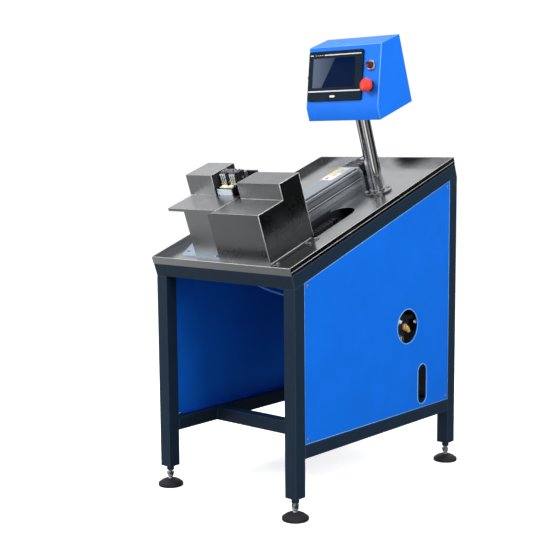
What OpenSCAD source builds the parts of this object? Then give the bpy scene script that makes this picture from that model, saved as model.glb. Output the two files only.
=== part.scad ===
// Floor-standing pneumatic cable jacket stripper with a sloped table.
// Lengths are millimetres. X is the operator's right, Y runs to the rear and Z is up.
// The table, its head, its linear module and the control column share one sloped frame:
// U across, V rearwards up the slope and W square to the table.

/* [Frame] */
// Width over the two side frames
frame_w = 540; // [440:5:640]
// Depth over the legs
frame_d = 800; // [650:5:950]
// Square tube size
tube = 40; // [30:1:50]
// Tube wall thickness
wall = 2.5; // [1.5:0.5:4]
// Slope of the table in degrees
slope = 19.5; // [0:0.5:30]
// Height of the leg bottoms above the floor
leg_z = 63; // [50:1:90]
// Height of the front top rail's lower front edge
front_z = 646; // [560:1:720]
// Underside of the lower rails
low_z = 171; // [100:1:300]
// Front face of the cross beam behind the front face of the legs
beam_back = 207; // [60:1:400]

/* [Feet] */
// Diameter of the rubber foot pad
pad_d = 76; // [50:1:100]
// Thread diameter of the levelling stem
stem_d = 12; // [8:1:16]
// Diameter of the welded boss under each leg
boss_d = 22; // [16:1:30]
// Running clearance per side in turned and sliding fits
fit = 0.05; // [0.02:0.01:0.1]

/* [Panels] */
// Sheet thickness of panels and covers
sheet = 1.5; // [1:0.5:3]
// Depth of the folded stiffening edges
fold = 14; // [8:1:25]
// Diameter of the service hole in the right panel
service_d = 104; // [60:1:140]
// Height of the service hole's centre
service_z = 478; // [380:1:560]
// Depth position of the service hole's centre
service_y = 132; // [0:1:250]
// Width of the upright slot in the right panel
slot_w = 46; // [20:1:60]
// Length of the upright slot in the right panel
slot_l = 124; // [80:1:160]

/* [Table] */
// Thickness of the table tray
tray_t = 2; // [1:0.5:4]
// Height of the tray lip above the tray's underside
lip_h = 22; // [10:1:40]
// Left edge of the chain slot
chain_u = 84; // [80:1:120]
// Width of the chain slot
chain_w = 83; // [40:1:90]
// Rear end of the chain slot
chain_v = 468; // [400:1:520]

/* [Head covers] */
// Height of both front shelves above the tray's underside
shelf_w = 150; // [120:1:180]
// Top of the right cover
right_top = 198; // [170:1:230]
// Top of the left cover
left_top = 212; // [180:1:240]
// Front of the right cover along the slope
cover_v = 50; // [30:1:80]
// Step in the right cover along the slope
step_v = 162; // [120:1:190]
// Rear of the right cover along the slope
cover_end = 250; // [230:1:262]

/* [Linear module] */
// Centre line of the module across the table
mod_u = 16; // [0:1:30]
// Width of the module
mod_w = 100; // [80:1:120]
// Height of the module's top above the tray's underside
mod_h = 66; // [50:1:80]
// Front end of the module body
mod_v0 = 150; // [120:1:170]
// Rear end of the module body
mod_v1 = 628; // [560:1:660]
// Height of the ball screw axis
screw_h = 34; // [28:1:40]

/* [Head] */
// Centre line of the cable across the table
cable_u = -86; // [-100:1:-70]
// Height of the cable's centre line
cable_h = 184; // [170:1:195]
// Opening between the jaws at rest
jaw_gap = 16; // [8:1:24]

/* [Column and control box] */
// Column diameter
col_d = 44; // [38:1:50]
// Column position across the table
col_u = 140; // [100:1:180]
// Column position along the slope
col_v = 600; // [500:1:700]
// Left side of the control box
box_u0 = 20; // [0:1:60]
// Right side of the control box
box_u1 = 284; // [240:1:287]
// Underside of the control box
box_w0 = 266; // [240:1:320]
// Top of the control box
box_w1 = 468; // [430:1:520]
// Front of the control box at its underside
box_v0 = 497; // [480:1:520]
// Rear of the control box
box_v1 = 665; // [640:1:700]
// Front edge of the box's top
box_vt = 573; // [540:1:600]
// Height of the upright chin under the leaning front
chin = 40; // [20:1:60]

/* [Hidden] */
$fn = 48;
e = 1;
hw = frame_w / 2;
hd = frame_d / 2;
ss = sin(slope);
cs = cos(slope);
tn = tan(slope);
run = frame_d / cs;
pad_y = hd - tube / 2 + pad_d / 2;
front_y = -hd - (tube + lip_h) * ss;
shift_y = -(pad_y + front_y) / 2;
leg_x = hw - tube / 2;
leg_y = hd - tube / 2;
low_top = low_z + tube;
skin = hw - 1;
gap = 0.5;
tab = 34;
tab_t = 3;
screw_in = 14;
screw_d = 6;
in_x = hw - tube;
in_y = hd - tube;
front_w = atan((box_vt - box_v0) / (box_w1 - box_w0 - chin));
front_l = (box_w1 - box_w0 - chin) / cos(front_w);
btn_u = 252;
btn_h = 118;
stop_h = 59;
hmi_u = 25;
hmi_h = 20;
hmi_w = 200;
hmi_l = 146;
mod_l = mod_u - mod_w / 2;
mod_r = mod_u + mod_w / 2;
head_v = 206;

// Routes of the two air hoses, from the valve manifold to the head.
hose_d = 8;
lower_route = [
  [216, -312, 610], [197, -312, 610], [178, -312, 611], [158, -312, 614], [139, -312, 617],
  [120, -312, 620], [101, -313, 624], [82, -313, 628], [63, -313, 633], [44, -314, 639],
  [25, -314, 645], [7, -314, 652], [-11, -314, 660], [-29, -314, 668], [-46, -314, 678],
  [-61, -314, 691], [-72, -314, 707], [-79, -314, 725], [-82, -314, 744], [-82, -309, 762],
  [-82, -298, 777], [-82, -282, 787], [-82, -265, 793]
];
upper_route = [
  [216, -296, 624], [197, -296, 624], [178, -297, 625], [159, -298, 627], [140, -300, 629],
  [121, -302, 632], [102, -304, 635], [83, -306, 639], [64, -308, 644], [46, -310, 650],
  [28, -311, 657], [10, -312, 665], [-7, -313, 674], [-24, -314, 683], [-40, -314, 694],
  [-53, -314, 708], [-62, -314, 725], [-67, -314, 743], [-68, -309, 762], [-68, -298, 777],
  [-68, -282, 787], [-68, -265, 793]
];
hose_hole = [-70, 107, 18];

BLUE = [0.10, 0.40, 0.86];
DARK = [0.13, 0.17, 0.22];
STEEL = [0.60, 0.61, 0.62];
CHROME = [0.80, 0.81, 0.82];
ALU = [0.74, 0.77, 0.80];
BLACK = [0.05, 0.05, 0.06];

// Height of the plane under the sloped rails at depth y.
function rail_z(y) = front_z + (y + hd) * tn;

// A point of the machine given in the sloped frame.
function table_place(p) =
  let (y = p[1] + hd + tube * ss, z = p[2] - front_z - tube * cs)
    [p[0], y * cs + z * ss, z * cs - y * ss];

module machine() {
  translate([0, shift_y, 0]) children();
}

module sloped() {
  machine()
    translate([0, -hd - tube * ss, front_z + tube * cs])
      rotate([slope, 0, 0]) children();
}

// Box given by its low and high corners.
module block(a, b) {
  translate(a) cube(b - a);
}

// Sheet outline drawn in V and W, extruded across U.
module side_profile(u, t, pts) {
  translate([u, 0, 0]) rotate([90, 0, 90]) linear_extrude(t) polygon(pts);
}

module rod_u(u0, u1, v, w, r) {
  translate([u0, v, w]) rotate([0, 90, 0]) cylinder(h = u1 - u0, r = r);
}

module rod_v(u, v0, v1, w, r) {
  translate([u, v0, w]) rotate([-90, 0, 0]) cylinder(h = v1 - v0, r = r);
}

module corners() {
  for (sx = [-1, 1]) for (sy = [-1, 1])
    translate([sx * leg_x, sy * leg_y, 0]) children();
}

// ---------- frame ----------

module tube_z(z0, z1) {
  difference() {
    translate([-tube / 2, -tube / 2, z0]) cube([tube, tube, z1 - z0]);
    translate([-tube / 2 + wall, -tube / 2 + wall, z0 + 6])
      cube([tube - 2 * wall, tube - 2 * wall, z1 - z0]);
  }
}

module legs() {
  color(DARK) {
    difference() {
      machine() corners() {
        difference() {
          union() {
            tube_z(leg_z, front_z + frame_d * tn);
            translate([0, 0, leg_z - 14]) cylinder(h = 15, r = boss_d / 2);
          }
          translate([0, 0, leg_z - 20]) cylinder(h = 40, r = stem_d / 2 + fit);
        }
      }
      sloped() block([-hw - 50, -200, -tube], [hw + 50, run + 200, 600]);
    }
  }
}

module side_rails() {
  color(DARK) {
    for (s = [-1, 1]) {
      sloped() difference() {
        block([s * leg_x - tube / 2, 0, -tube], [s * leg_x + tube / 2, run, 0]);
        block([s * leg_x - tube / 2 + wall, 6, -tube + wall],
              [s * leg_x + tube / 2 - wall, run - 6, -wall]);
      }
      machine() difference() {
        block([s * leg_x - tube / 2, -in_y, low_z], [s * leg_x + tube / 2, in_y, low_top]);
        block([s * leg_x - tube / 2 + wall, -in_y + 6, low_z + wall],
              [s * leg_x + tube / 2 - wall, in_y - 6, low_top - wall]);
      }
    }
  }
}

module tube_x(y, z) {
  difference() {
    block([-in_x, y, z], [in_x, y + tube, z + tube]);
    block([-in_x - e, y + wall, z + wall], [in_x + e, y + tube - wall, z + tube - wall]);
  }
}

module cross_rails() {
  color(DARK) {
    sloped() tube_x(0, -tube);
    sloped() tube_x(run - tube, -tube);
    machine() tube_x(-hd + beam_back, low_z);
    machine() tube_x(in_y - tube, low_z);
  }
}

// ---------- feet ----------

module foot_pads() {
  color(BLACK) machine() corners() rotate_extrude($fn = 64) polygon([
    [0, 0], [pad_d / 2 - 3, 0], [pad_d / 2, 3], [pad_d / 2, 7], [pad_d / 2 - 4, 11],
    [pad_d / 2 - 12, 16], [14, 20], [12, 23], [8 + fit, 23], [8 + fit, 12], [0, 12]
  ]);
}

module foot_stem() {
  color(CHROME) {
    rotate_extrude() polygon([
      [0, 12], [8, 12], [8, 24], [10.5, 26], [11, 28.5], [10.5, 31], [8, 33], [0, 33]
    ]);
    translate([0, 0, 32]) cylinder(h = 3, r = 8);
    translate([0, 0, 34]) cylinder(h = 10, r = 11.5, $fn = 6);
    translate([0, 0, 43]) cylinder(h = leg_z + 42 - 43, r = stem_d / 2);
  }
}

module foot_stem_fl() {
  machine() translate([-leg_x, -leg_y, 0]) foot_stem();
}

module foot_stem_fr() {
  machine() translate([leg_x, -leg_y, 0]) foot_stem();
}

module foot_stem_rl() {
  machine() translate([-leg_x, leg_y, 0]) foot_stem();
}

module foot_stem_rr() {
  machine() translate([leg_x, leg_y, 0]) foot_stem();
}

// ---------- side and rear panels ----------

function pt_top(sy) = rail_z(sy * in_y);

// Positions of the four side panel screws, as depth and height.
side_screws = [
  [-in_y + screw_in, low_top + screw_in],
  [in_y - screw_in, low_top + screw_in],
  [-in_y + screw_in, pt_top(-1) - screw_in + 4],
  [in_y - screw_in, pt_top(1) - screw_in - 6]
];

rear_z = rail_z(leg_y) - 4;
rear_screws = [
  [-in_x + screw_in, low_top + 30],
  [in_x - screw_in, low_top + 30],
  [-in_x + screw_in, rear_z - 30],
  [in_x - screw_in, rear_z - 30]
];

module side_sheet() {
  rotate([90, 0, 90]) linear_extrude(sheet) polygon([
    [-in_y + gap, low_top + gap], [in_y - gap, low_top + gap],
    [in_y - gap, pt_top(1) - gap / cs], [-in_y + gap, pt_top(-1) - gap / cs]
  ]);
}

// Right panel in its own place; the left one is its mirror without the openings.
module side_panel() {
  difference() {
    union() {
      translate([skin - sheet, 0, 0]) side_sheet();
      block([skin - sheet - fold, -in_y + 42, low_top + gap],
            [skin - sheet + 0.5, in_y - 42, low_top + gap + sheet]);
      block([skin - sheet - fold, -in_y + gap, low_top + 42],
            [skin - sheet + 0.5, -in_y + gap + sheet, pt_top(-1) - 42]);
      block([skin - sheet - fold, in_y - gap - sheet, low_top + 42],
            [skin - sheet + 0.5, in_y - gap, pt_top(1) - 52]);
      translate([0, -hd - tube * ss, front_z + tube * cs]) rotate([slope, 0, 0])
        block([skin - sheet - fold, 96, -tube - gap - sheet],
              [skin - sheet + 0.5, run - 96, -tube - gap]);
    }
    for (p = side_screws) translate([skin - 10, p[0], p[1]])
      rotate([0, 90, 0]) cylinder(h = 20, r = screw_d / 2 + 0.4);
  }
}

module left_panel() {
  color(BLUE) machine() mirror([1, 0, 0]) side_panel();
}

module right_panel() {
  color(BLUE) machine() difference() {
    side_panel();
    translate([skin - 20, service_y, service_z]) rotate([0, 90, 0])
      cylinder(h = 40, r = service_d / 2, $fn = 96);
    for (s = [-1, 1]) translate([skin - 20, 213, 286 + s * (slot_l - slot_w) / 2])
      rotate([0, 90, 0]) cylinder(h = 40, r = slot_w / 2);
    block([skin - 20, 213 - slot_w / 2, 286 - (slot_l - slot_w) / 2],
          [skin + 20, 213 + slot_w / 2, 286 + (slot_l - slot_w) / 2]);
  }
}

module rear_panel() {
  color(BLUE) machine() difference() {
    union() {
      block([-in_x + gap, hd - 12, low_top + gap], [in_x - gap, hd - 12 + sheet, rear_z]);
      block([-in_x + 42, hd - 12 - fold, low_top + gap],
            [in_x - 42, hd - 11.5, low_top + gap + sheet]);
    }
    for (i = [0 : 7]) {
      block([-90, hd - 30, 640 + i * 24], [90, hd + 5, 648 + i * 24]);
    }
    for (p = rear_screws) translate([p[0], hd + 5, p[1]])
      rotate([90, 0, 0]) cylinder(h = 30, r = screw_d / 2 + 0.4);
  }
}

// Three-cornered screw tab in depth and height, welded behind a side panel.
module side_tab(sy, y, z, dz, zs, p) {
  difference() {
    rotate([90, 0, 90]) linear_extrude(tab_t)
      polygon([[y, z], [y - sy * tab, z + dz], [y, zs]]);
    translate([-1, p[0], p[1]]) rotate([0, 90, 0]) cylinder(h = 6, r = screw_d / 2 + fit);
  }
}

module panel_tabs() {
  color(DARK) machine() {
    for (m = [0, 1]) mirror([m, 0, 0]) translate([skin - sheet - tab_t, 0, 0]) {
      side_tab(-1, -in_y, low_top, 0, low_top + tab, side_screws[0]);
      side_tab(1, in_y, low_top, 0, low_top + tab, side_screws[1]);
      side_tab(-1, -in_y, pt_top(-1), tab * tn, pt_top(-1) - tab, side_screws[2]);
      side_tab(1, in_y, pt_top(1), -tab * tn, pt_top(1) - tab - 8, side_screws[3]);
    }
    for (p = rear_screws) difference() {
      block([min(p[0], sign(p[0]) * in_x) - (p[0] > 0 ? 10 : 0), hd - 12 - tab_t, p[1] - 12],
            [max(p[0], sign(p[0]) * in_x) + (p[0] > 0 ? 0 : 10), hd - 12, p[1] + 12]);
      translate([p[0], hd, p[1]]) rotate([90, 0, 0]) cylinder(h = 30, r = screw_d / 2 + fit);
    }
  }
}

// ---------- table ----------

module tray() {
  color(STEEL) sloped() difference() {
    union() {
      block([-hw, 0, 0], [hw, run, tray_t]);
      block([-hw, 0, 0], [-hw + tray_t, run, lip_h]);
      block([hw - tray_t, 0, 0], [hw, run, lip_h]);
      block([-hw, 0, 0], [hw, tray_t, lip_h]);
      block([-hw, run - tray_t, 0], [hw, run, lip_h]);
    }
    block([chain_u, head_v, -e], [chain_u + chain_w, chain_v - chain_w / 2, tray_t + e]);
    translate([chain_u + chain_w / 2, chain_v - chain_w / 2, -e])
      cylinder(h = tray_t + 2 * e, r = chain_w / 2, $fn = 72);
    translate([col_u, col_v, -e]) cylinder(h = 20, r = 15);
    translate([hose_hole[0], hose_hole[1], -e]) cylinder(h = 20, r = hose_hole[2]);
    for (p = tray_screws) translate([p[0], p[1], -e]) cylinder(h = 20, r = screw_d / 2 + fit);
  }
}

// Screw positions on the table: right flange, left base plate and column flange.
flange_screws = [[174, 60], [166, 200], [178, 200], [174, 232]];
plate_screws = [[-222, 158], [-70, 70]];
column_screws = [for (a = [45 : 90 : 359]) [col_u + 34 * cos(a), col_v + 34 * sin(a)]];
tray_screws = concat(flange_screws, plate_screws, column_screws);

module right_cover() {
  u1 = 154;
  color(STEEL) sloped() difference() {
    union() {
      block([-40, cover_v, tray_t], [u1, cover_v + sheet, shelf_w - 2]);
      block([-24, cover_v, shelf_w - 6], [u1, cover_v + sheet, shelf_w]);
      block([-24, cover_v, shelf_w - sheet], [u1, step_v, shelf_w]);
      block([-6, step_v - sheet, shelf_w - sheet], [u1, step_v, right_top]);
      block([-6, step_v - sheet, right_top - sheet], [u1, cover_end, right_top]);
      side_profile(u1 - sheet, sheet, [
        [cover_v, tray_t], [cover_end, tray_t], [cover_end, right_top],
        [step_v - sheet, right_top], [step_v - sheet, shelf_w], [cover_v, shelf_w]
      ]);
      block([u1 - sheet, cover_v + 2, tray_t], [u1 + 30, 240, tray_t + sheet]);
    }
    for (p = flange_screws) translate([p[0], p[1], 0]) cylinder(h = 10, r = screw_d / 2 + 0.4);
  }
}

module left_cover() {
  u0 = -229;
  u1 = -123;
  color(STEEL) sloped() {
    block([-220, 70, shelf_w - sheet], [-26, 181.5, shelf_w]);
    block([u0, 178, shelf_w - sheet], [u1, 284, shelf_w]);
    block([u0, 180, shelf_w - sheet], [u1, 181.5, left_top]);
    block([u0, 180, left_top - sheet], [u1, 284, left_top]);
    for (u = [u0, u1 - sheet]) block([u, 180, shelf_w - sheet], [u + sheet, 284, left_top]);
    block([-163, 76, tray_t + 3], [-44, 76 + sheet, shelf_w - 0.5]);
    block([-163, 76, tray_t + 3], [-163 + sheet, 282, shelf_w - 0.5]);
    block([-220, 70, shelf_w - 9], [-26, 70 + sheet, shelf_w - 0.5]);
    block([-220, 70, shelf_w - 9], [-220 + sheet, 179, shelf_w - 0.5]);
  }
}

module left_base_plate() {
  color(CHROME) sloped() difference() {
    translate([0, 0, tray_t]) linear_extrude(3)
      polygon([[-205, 60], [-48, 60], [-48, 172], [-240, 172], [-240, 138]]);
    for (p = plate_screws) translate([p[0], p[1], 0]) cylinder(h = 10, r = screw_d / 2 + 0.4);
    for (s = [-4, 4]) translate([-202 + s, 88, 0]) cylinder(h = 10, r = 3.5);
    block([-206, 84.5, 0], [-198, 91.5, 10]);
    translate([hose_hole[0], hose_hole[1], 0]) cylinder(h = 10, r = hose_hole[2]);
  }
}

module m6_screw(len) {
  translate([0, 0, -len]) cylinder(h = len + 1, r = screw_d / 2, $fn = 24);
  difference() {
    rotate_extrude($fn = 32) polygon([[0, 0], [5, 0], [5, 1.6], [4, 3], [0, 3]]);
    translate([0, 0, 1.4]) cylinder(h = 3, r = 2.3, $fn = 6);
  }
}

module m6_screws() {
  color(CHROME) {
    machine() for (m = [0, 1]) mirror([m, 0, 0]) for (p = side_screws)
      translate([skin, p[0], p[1]]) rotate([0, 90, 0]) m6_screw(6);
    machine() for (p = rear_screws)
      translate([p[0], hd - 12 + sheet, p[1]]) rotate([-90, 0, 0]) m6_screw(6);
    sloped() {
      for (p = flange_screws) translate([p[0], p[1], tray_t + sheet]) m6_screw(6);
      for (p = plate_screws) translate([p[0], p[1], tray_t + 3]) m6_screw(8);
      for (p = column_screws) translate([p[0], p[1], tray_t + 6]) m6_screw(12);
    }
  }
}

// ---------- linear module ----------

module groove(u, w, s) {
  block([u - (s > 0 ? 6 : 0), mod_v0 - e, w - 2.5], [u + (s > 0 ? 0 : 6), mod_v1 + e, w + 2.5]);
  block([u - (s > 0 ? 7 : -4), mod_v0 - e, w - 5], [u - (s > 0 ? 4 : -7), mod_v1 + e, w + 5]);
}

module module_body() {
  color(ALU) sloped() difference() {
    translate([mod_u, mod_v1, 0]) rotate([90, 0, 0]) linear_extrude(mod_v1 - mod_v0) polygon([
      [-50, tray_t], [50, tray_t], [50, 50], [44, mod_h - 4], [38, mod_h - 4],
      [38, 12], [-38, 12], [-38, mod_h - 4], [-44, mod_h - 4], [-50, 50]
    ]);
    for (w = [15, 38]) {
      groove(mod_r, w, 1);
      groove(mod_l, w, -1);
    }
  }
}

module module_cover() {
  color(ALU) sloped() translate([mod_u, mod_v1, 0]) rotate([90, 0, 0])
    linear_extrude(mod_v1 - mod_v0) polygon([
      [-32, 58], [32, 58], [32, mod_h - 2], [30, mod_h], [-30, mod_h], [-32, mod_h - 2]
    ]);
}

module end_plate(v0, v1, r) {
  difference() {
    translate([mod_u, v1, 0]) rotate([90, 0, 0]) linear_extrude(v1 - v0) polygon([
      [-50, tray_t], [50, tray_t], [50, 50], [40, mod_h], [-40, mod_h], [-50, 50]
    ]);
    rod_v(mod_u, v0 - e, v1 + e, screw_h, r);
  }
}

module module_ends() {
  color(ALU) sloped() {
    end_plate(mod_v0 - 12, mod_v0, 6 + fit);
    end_plate(mod_v1, mod_v1 + 12, 6 + fit);
  }
}

module ball_screw() {
  color(CHROME) sloped() {
    rod_v(mod_u, mod_v0 - 11, mod_v1 + 20, screw_h, 6);
    rod_v(mod_u, mod_v0 + 1, mod_v1 - 1, screw_h, 8);
    rod_v(mod_u, mod_v1 + 18, mod_v1 + 46, screw_h, 13);
    rod_v(mod_u, mod_v1 + 45, mod_v1 + 61.5, screw_h, 7);
  }
}

module carriage() {
  color(ALU) sloped() difference() {
    union() {
      block([mod_u - 35.5, 170, 16], [mod_u + 35.5, 240, 54]);
      for (s = [-1, 1])
        block([mod_u + s * 34.15 - 1.35, 170, 50], [mod_u + s * 34.15 + 1.35, 240, 70]);
      block([mod_l, 165, 68], [mod_r, 245, 80]);
      block([-42, 200, 68], [-8, 276, 80]);
    }
    rod_v(mod_u, 160, 250, screw_h, 8 + fit);
  }
}

module motor_mount() {
  v0 = mod_v1 + 12;
  color(BLACK) sloped() difference() {
    block([mod_u - 31, v0, tray_t], [mod_u + 31, v0 + 50, mod_h - 1]);
    rod_v(mod_u, v0 - e, v0 + 51, screw_h, 18);
    block([mod_u + 20, v0 + 10, screw_h - 10], [mod_u + 40, v0 + 40, screw_h + 10]);
  }
}

module motor() {
  v0 = mod_v1 + 62;
  color(BLACK) sloped() {
    block([mod_u - 30, v0, screw_h - 30], [mod_u + 30, v0 + 12, screw_h + 30]);
    block([mod_u - 28, v0 + 11, screw_h - 28], [mod_u + 28, v0 + 68, screw_h + 28]);
    block([mod_u - 38, v0 + 40, screw_h - 12], [mod_u - 27, v0 + 64, screw_h + 12]);
  }
}

// ---------- head ----------

module head_post() {
  color(DARK) sloped() {
    block([-118, 184, tray_t], [-44, 240, 12]);
    block([-112, 184, tray_t], [-60, 205, 149]);
    for (u = [-122, -50]) {
      block([u, 214, tray_t], [u + 5, 240, 209]);
    }
    block([-122, 214, tray_t], [-117, 240, 12]);
    block([-117.5, 214, 11], [-49.5, 218, 168]);
    for (route = [lower_route, upper_route]) let (end = table_place(route[len(route) - 1]))
      rod_v(end[0], end[1], 184.2, end[2], 6.5);
  }
}

module guide_block() {
  color([0.80, 0.88, 0.95]) sloped() block([-116, 182.5, 149], [-56, 205, 168]);
}

module guide_strip() {
  color(BLACK) sloped() block([-115, 183, 168], [-57, 186.5, 170.5]);
}

module v_rest() {
  color([0.93, 0.90, 0.62]) sloped() translate([cable_u, 204, 168]) rotate([90, 0, 0])
    linear_extrude(16) polygon([[-22, 0], [22, 0], [22, 4], [14, 8], [0, 3], [-14, 8], [-22, 4]]);
}

module clamp_body() {
  color([0.35, 0.36, 0.38]) sloped() difference() {
    union() {
      block([-116.8, 217.5, 198], [-50.2, 239, 209]);
      block([-98, 222, 208.5], [-74, 236, 212]);
    }
    block([-120, 223, 197], [-48, 231, 202]);
    block([-120, 220, 201], [-48, 234, 205]);
  }
}

// One clamp jaw left of the cable, with three upright gripping ribs.
module clamp_jaw() {
  u1 = -jaw_gap / 2;
  difference() {
    union() {
      block([u1 - 21, 216.5, 170], [u1, 237.5, 197.9]);
      for (i = [0 : 2]) block([u1 - 20.5 + i * 7.5, 208, 172], [u1 - 16.5 + i * 7.5, 217, 207]);
      block([u1 - 18, 223.1, 197], [u1 - 2, 230.9, 202]);
      block([u1 - 18, 220.1, 201.1], [u1 - 2, 233.9, 204.9]);
    }
    translate([u1 + 4, 200, cable_h]) rotate([-90, 0, 0]) cylinder(h = 50, r = 7, $fn = 4);
  }
}

module clamp_jaw_left() {
  color(CHROME) sloped() translate([cable_u, 0, 0]) clamp_jaw();
}

module clamp_jaw_right() {
  color(CHROME) sloped() translate([cable_u, 0, 0]) mirror([1, 0, 0]) clamp_jaw();
}

module blade_arm() {
  color(DARK) sloped() {
    difference() {
      union() {
        block([-118, 268, 80], [-12, 276, 150]);
        block([-118, 268, 149], [-24, 276, 194]);
      }
      rod_v(cable_u, 260, 280, cable_h, 14);
    }
    block([-42, 240.5, 80], [-36, 268.5, 150]);
    block([-14, 240.5, 80], [-8, 276, 128]);
    block([-42, 240.5, 80], [-8, 276, 84]);
  }
}

module blade_body() {
  color(BLACK) sloped() difference() {
    union() {
      block([-116, 252, 162], [-56, 268, 172]);
      block([-98, 254, 159], [-74, 267, 162.5]);
    }
    block([-120, 256, 169], [-50, 262, 173]);
    block([-120, 253.5, 166], [-50, 264.5, 170]);
  }
}

// Blade holder left of the cable; its blade bolts to the face at depth v0.
module blade_holder(v0) {
  u1 = -jaw_gap / 2;
  difference() {
    union() {
      block([u1 - 20, v0, 175], [u1 - 8, 253, 194]);
      block([u1 - 20, 252.5, 172.1], [u1 - 1, 267, 196]);
      block([u1 - 18, 256.1, 168.5], [u1 - 3, 261.9, 173]);
      block([u1 - 18, 253.6, 166.1], [u1 - 3, 264.4, 169.9]);
    }
    translate([u1 + 6, 240, cable_h]) rotate([-90, 0, 0]) cylinder(h = 50, r = 12, $fn = 4);
  }
}

module blade_holder_left() {
  color(ALU) sloped() translate([cable_u, 0, 0]) blade_holder(252.5);
}

module blade_holder_right() {
  color(ALU) sloped() translate([cable_u, 0, 0]) mirror([1, 0, 0])
    blade_holder(249.9);
}

// V blade with its notch open towards the cable.
module blade(v) {
  u1 = -jaw_gap / 2;
  difference() {
    translate([0, v + 2, 0]) rotate([90, 0, 0]) linear_extrude(2) polygon([
      [u1 - 19, 174], [u1 + 1.5, 174], [u1 + 1.5, 178], [u1 - 5, cable_h],
      [u1 + 1.5, 190], [u1 + 1.5, 194], [u1 - 19, 194]
    ]);
    translate([u1 - 14, v - 1, cable_h]) rotate([-90, 0, 0]) cylinder(h = 4, r = 2, $fn = 24);
  }
}

module blade_left() {
  color(STEEL) sloped() translate([cable_u, 0, 0]) blade(250.5);
}

module blade_right() {
  color(STEEL) sloped() translate([cable_u, 0, 0]) mirror([1, 0, 0]) blade(247.9);
}

// ---------- drag chain ----------

module chain_bracket() {
  color(STEEL) sloped() {
    block([mod_r, 222, 76], [128, 240, 80]);
    block([124, 222, -22], [128, 240, 80]);
    block([110, 222, -22], [128, 240, -18]);
  }
}

module chain_upper() {
  color(BLACK) sloped() {
    block([105, 230, -18], [123, 396, -7]);
    for (i = [0 : 7]) {
      block([102, 242 + i * 19.2, -26], [123.5, 257 + i * 19.2, -4]);
    }
    difference() {
      translate([104, 394, -43]) rotate([0, 90, 0]) cylinder(h = 18, r = 36);
      translate([96, 394, -43]) rotate([0, 90, 0]) cylinder(h = 40, r = 24);
      block([96, 330, -90], [126, 394, 0]);
    }
    block([104, 380, -79], [122, 394.5, -67]);
  }
}

module chain_trough() {
  color(DARK) sloped() difference() {
    union() {
      block([87, 208, -88], [164, 640, -86]);
      block([87, 208, -88], [88.5, 640, 0]);
      block([162.5, 208, -88], [164, 640, 0]);
    }
    for (p = column_screws) translate([p[0], p[1], -8]) cylinder(h = 9, r = 6);
  }
}

// ---------- column and control box ----------

module column() {
  color(CHROME) sloped() difference() {
    translate([col_u, col_v, tray_t]) cylinder(h = 310, r = col_d / 2, $fn = 72);
    translate([col_u, col_v, 0]) cylinder(h = 320, r = col_d / 2 - 2.5, $fn = 72);
  }
}

module column_flange() {
  color(CHROME) sloped() difference() {
    union() {
      translate([col_u, col_v, tray_t]) cylinder(h = 6, r = 45, $fn = 72);
      translate([col_u, col_v, tray_t]) cylinder(h = 9, r = col_d / 2 + 3, $fn = 72);
    }
    translate([col_u, col_v, 0]) cylinder(h = 20, r = col_d / 2 + fit, $fn = 72);
    for (p = column_screws) translate([p[0], p[1], 0]) cylinder(h = 20, r = screw_d / 2 + 0.4);
  }
}

// Local frame of the leaning front: X across, Y inwards and Z up the front.
module box_front() {
  translate([0, box_v0, box_w0 + chin]) rotate([-front_w, 0, 0]) children();
}

module box_shell() {
  t = 2;
  color(BLUE) sloped() difference() {
    side_profile(box_u0, box_u1 - box_u0, [
      [box_v0, box_w0], [box_v1, box_w0], [box_v1, box_w1], [box_vt, box_w1],
      [box_v0, box_w0 + chin]
    ]);
    side_profile(box_u0 + t, box_u1 - box_u0 - 2 * t, [
      [box_v0 + t, box_w0 + t], [box_v1 - t, box_w0 + t], [box_v1 - t, box_w1 - t],
      [box_vt + 1.28, box_w1 - t], [box_v0 + t, box_w0 + chin - 0.45]
    ]);
    translate([col_u, col_v, box_w0 - e]) cylinder(h = 4, r = col_d / 2 + 2);
    box_front() {
      block([hmi_u + 6, -5, hmi_h + 6], [hmi_u + hmi_w - 6, 10, hmi_h + hmi_l - 6]);
      translate([btn_u, 5, btn_h]) rotate([90, 0, 0]) cylinder(h = 10, r = 11 + fit);
      translate([btn_u, 5, stop_h]) rotate([90, 0, 0]) cylinder(h = 10, r = 11 + fit);
    }
  }
}

module swivel_hub() {
  color(DARK) sloped() difference() {
    translate([col_u, col_v, box_w0 + 2]) cylinder(h = 54, r = 32);
    translate([col_u, col_v, box_w0])
      cylinder(h = tray_t + 310 - box_w0 + fit, r = col_d / 2 + fit, $fn = 72);
  }
}

// Front frame of the touch panel, with rounded corners.
module hmi_frame(r) {
  block([hmi_u + r, -6, hmi_h], [hmi_u + hmi_w - r, 0, hmi_h + hmi_l]);
  block([hmi_u, -6, hmi_h + r], [hmi_u + hmi_w, 0, hmi_h + hmi_l - r]);
  for (x = [hmi_u + r, hmi_u + hmi_w - r]) for (z = [hmi_h + r, hmi_h + hmi_l - r])
    translate([x, 0, z]) rotate([90, 0, 0]) cylinder(h = 6, r = r);
}

module hmi_bezel() {
  color(BLACK) sloped() box_front() difference() {
    union() {
      hmi_frame(6);
      block([hmi_u + 6.5, -1, hmi_h + 6.5], [hmi_u + hmi_w - 6.5, 34, hmi_h + hmi_l - 6.5]);
    }
    block([hmi_u + 17, -7, hmi_h + 38], [hmi_u + 175, -5, hmi_h + 126]);
  }
}

module hmi_screen() {
  color([0.03, 0.05, 0.12]) sloped() box_front()
    block([hmi_u + 17.1, -6, hmi_h + 38.1], [hmi_u + 174.9, -5, hmi_h + 125.9]);
}

module barrel(r_in, depth) {
  difference() {
    rotate([90, 0, 0]) rotate_extrude() polygon([
      [r_in, -depth], [11, -depth], [11, 0], [14.5, 0], [14.5, 2.5], [13, 4.5], [r_in, 4.5]
    ]);
  }
}

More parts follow.
